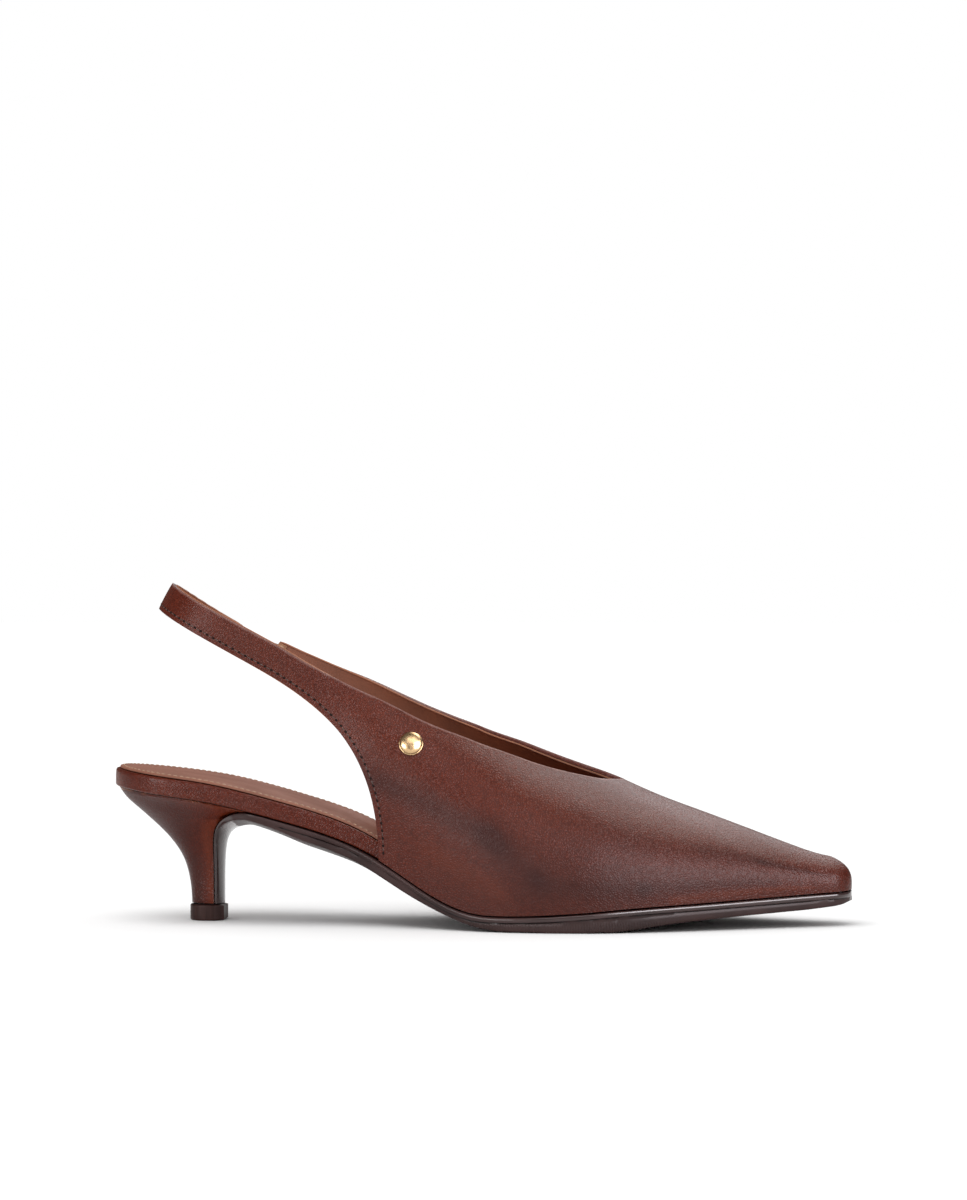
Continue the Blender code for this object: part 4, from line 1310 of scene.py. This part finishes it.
class PUMP_OT_stud(bpy.types.Operator):
    """Polish the plain gilt stud on the outer quarter"""
    bl_idname = "pump.stud"
    bl_label = "Gilt Stud"

    def execute(self, context):
        stud = copy_of("stud", "stud_copy")
        hold_edges(stud, STUD_SHARP, STUD_CREASE)
        gilt = grained("gilt_metal", colours().gilt, (1.0, 0.85), 2500.0, polish=(0.24, 0.36), depth=0.006,
                       drawn={"Rotation": (0.0, 0.7, 0.0), "Scale": (1.0, 1.0, 0.1)}, Metallic=1.0)
        finish_piece(stud, "stud_gilt_dome", gilt)
        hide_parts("stud")
        low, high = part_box("stud")
        skin = surface_of(bpy.data.objects["upper_leather_shell"])
        spot, normal, _, _ = skin.find_nearest((low + high) / 2)
        if normal.y > 0:
            normal = -normal
        collar = new_shape(bpy.ops.mesh.primitive_torus_add, major_radius=sizes().stud_width / 2,
                           minor_radius=COLLAR_WIRE, major_segments=56, minor_segments=12)
        collar.data.transform(standing(spot, Vector((1, 0, 0)), normal, COLLAR_LIFT))
        smooth(collar, 60)
        finish_piece(collar, "stud_gilt_collar", gilt)
        return {"FINISHED"}


# Studio

EYE_HEIGHT = 0.1143
EYE_DISTANCE = 1.2
EYE_TURN = math.radians(6.0)
AIM_FROM_SEAT_BACK = 0.13235
LENS = 101.4

# Strength of the white world, what the camera sees more of it and what reflections see less
WORLD_STRENGTH = 0.7
CAMERA_EXTRA = 0.3
GLOSSY_LESS = 0.6

SUN_STRENGTH = 1.6
SUN_ANGLE = math.radians(50)
SUN_TURN = (math.radians(14), math.radians(-12), 0.0)

# Softboxes that only show as sheen: name, place, aim, size, power and tint
SOFTBOXES = [
    ("toe_side_softbox", (0.83, -0.80, 0.47), (0.03, 0.0, 0.04), (0.85, 0.7), 23.0, (1.0, 0.96, 1.0)),
    ("overhead_softbox", (0.36, 0.42, 1.0), (0.03, 0.0, 0.04), (0.8, 0.55), 7.6, (1.0, 0.97, 0.93)),
    ("crest_softbox", (0.23, 0.93, 0.58), (0.05, 0.0, 0.04), (0.7, 0.35), 2.3, (1.0, 0.97, 0.97)),
    ("front_softbox", (0.14, -0.68, 0.88), (0.03, 0.0, 0.04), (0.7, 0.5), 2.6, (1.0, 1.0, 1.0)),
    ("strap_softbox", (-0.78, -0.95, 0.35), (-0.09, 0.0, 0.1), (0.8, 0.5), 11.0, (1.0, 1.0, 1.0)),
]


class PUMP_OT_studio(bpy.types.Operator):
    """Set a plain pale floor, soft lights and the camera at the photograph's angle"""
    bl_idname = "pump.studio"
    bl_label = "Studio"

    def execute(self, context):
        floor = new_shape(bpy.ops.mesh.primitive_plane_add, size=30.0, location=(0.0, 0.0, 0.0))
        floor.name = "studio_floor"
        floor.data.materials.append(grained("pale_floor", colours().floor, (1.0, 0.99), 3.0, steps=None,
                                            Specular_IOR_Level=0.0, Roughness=0.9))
        self.light()
        self.frame_shoe()
        bpy.context.scene.view_settings.view_transform = "Standard"
        return {"FINISHED"}

    def light(self):
        """A white world that reflections see darker, a wide sun for the diffuse light, and the softboxes."""
        world = bpy.data.worlds.new("studio_white")
        bpy.context.scene.world = world
        world.use_nodes = True
        tree = world.node_tree
        tree.nodes.clear()
        path = node(tree, "LightPath").outputs
        seen = maths(tree, "ADD", times(tree, path["Is Camera Ray"], CAMERA_EXTRA), WORLD_STRENGTH)
        strength = maths(tree, "SUBTRACT", seen, times(tree, path["Is Glossy Ray"], GLOSSY_LESS))
        sky = node(tree, "Background", {"Color": (1.0, 1.0, 1.0, 1.0), "Strength": strength})
        node(tree, "OutputWorld", {"Surface": sky.outputs[0]})

        sun = new_shape(bpy.ops.object.light_add, type="SUN", location=(0.0, -0.4, 1.0))
        sun.name = "overhead_soft"
        sun.data.energy = SUN_STRENGTH
        sun.data.angle = SUN_ANGLE
        sun.rotation_euler = SUN_TURN
        sun.visible_glossy = False
        for name, place, aim, size, power, tint in SOFTBOXES:
            lamp = new_shape(bpy.ops.object.light_add, type="AREA", location=place)
            lamp.name = name
            lamp.rotation_euler = (Vector(aim) - Vector(place)).to_track_quat("-Z", "Y").to_euler()
            lamp.data.shape = "RECTANGLE"
            lamp.data.size, lamp.data.size_y = size
            lamp.data.energy = power
            lamp.data.color = tint
            lamp.visible_diffuse = False

    def frame_shoe(self):
        """Sets the camera on the outer side, level and turned a little from the toe's side."""
        seat_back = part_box("insole")[0].x
        side = (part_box("upper")[0].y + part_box("upper")[1].y) / 2
        look = Vector((-math.sin(EYE_TURN), math.cos(EYE_TURN), 0.0))
        eye = Vector((seat_back + AIM_FROM_SEAT_BACK, side, EYE_HEIGHT)) - look * EYE_DISTANCE
        camera = new_shape(bpy.ops.object.camera_add, location=eye,
                           rotation=look.to_track_quat("-Z", "Y").to_euler())
        camera.name = "photo_camera"
        camera.data.lens = LENS
        camera.data.sensor_fit = "VERTICAL"
        camera.data.sensor_height = 36.0
        camera.data.clip_start = 0.01
        camera.data.clip_end = 100.0
        bpy.context.scene.camera = camera


class PUMP_PT_panel(bpy.types.Panel):
    """Lists the pump's pieces in the sidebar"""
    bl_idname = "PUMP_PT_panel"
    bl_label = "Slingback Pump"
    bl_space_type = "VIEW_3D"
    bl_region_type = "UI"
    bl_category = "Pump"

    def draw(self, context):
        layout = self.layout
        for kind in PIECES:
            layout.operator(kind.bl_idname)
        for group in (context.scene.pump_sizes, context.scene.pump_colours):
            box = layout.box()
            for key in group.__annotations__:
                box.prop(group, key)


PIECES = (PUMP_OT_upper, PUMP_OT_stitches, PUMP_OT_gusset, PUMP_OT_footbed, PUMP_OT_outsole, PUMP_OT_heel,
          PUMP_OT_stud, PUMP_OT_studio)
CLASSES = (PumpSizes, PumpColours, *PIECES, PUMP_PT_panel)


def register():
    for kind in CLASSES:
        bpy.utils.register_class(kind)
    bpy.types.Scene.pump_sizes = PointerProperty(type=PumpSizes)
    bpy.types.Scene.pump_colours = PointerProperty(type=PumpColours)


def unregister():
    del bpy.types.Scene.pump_colours
    del bpy.types.Scene.pump_sizes
    for kind in reversed(CLASSES):
        bpy.utils.unregister_class(kind)


def main():
    for piece in list(bpy.data.objects):
        if piece.name in ("Cube", "Light", "Camera"):
            bpy.data.objects.remove(piece)
    register()
    bpy.ops.pump.upper()
    bpy.ops.pump.stitches()
    bpy.ops.pump.gusset()
    bpy.ops.pump.footbed()
    bpy.ops.pump.outsole()
    bpy.ops.pump.heel()
    bpy.ops.pump.stud()
    bpy.ops.pump.studio()


if __name__ == "__main__":
    main()
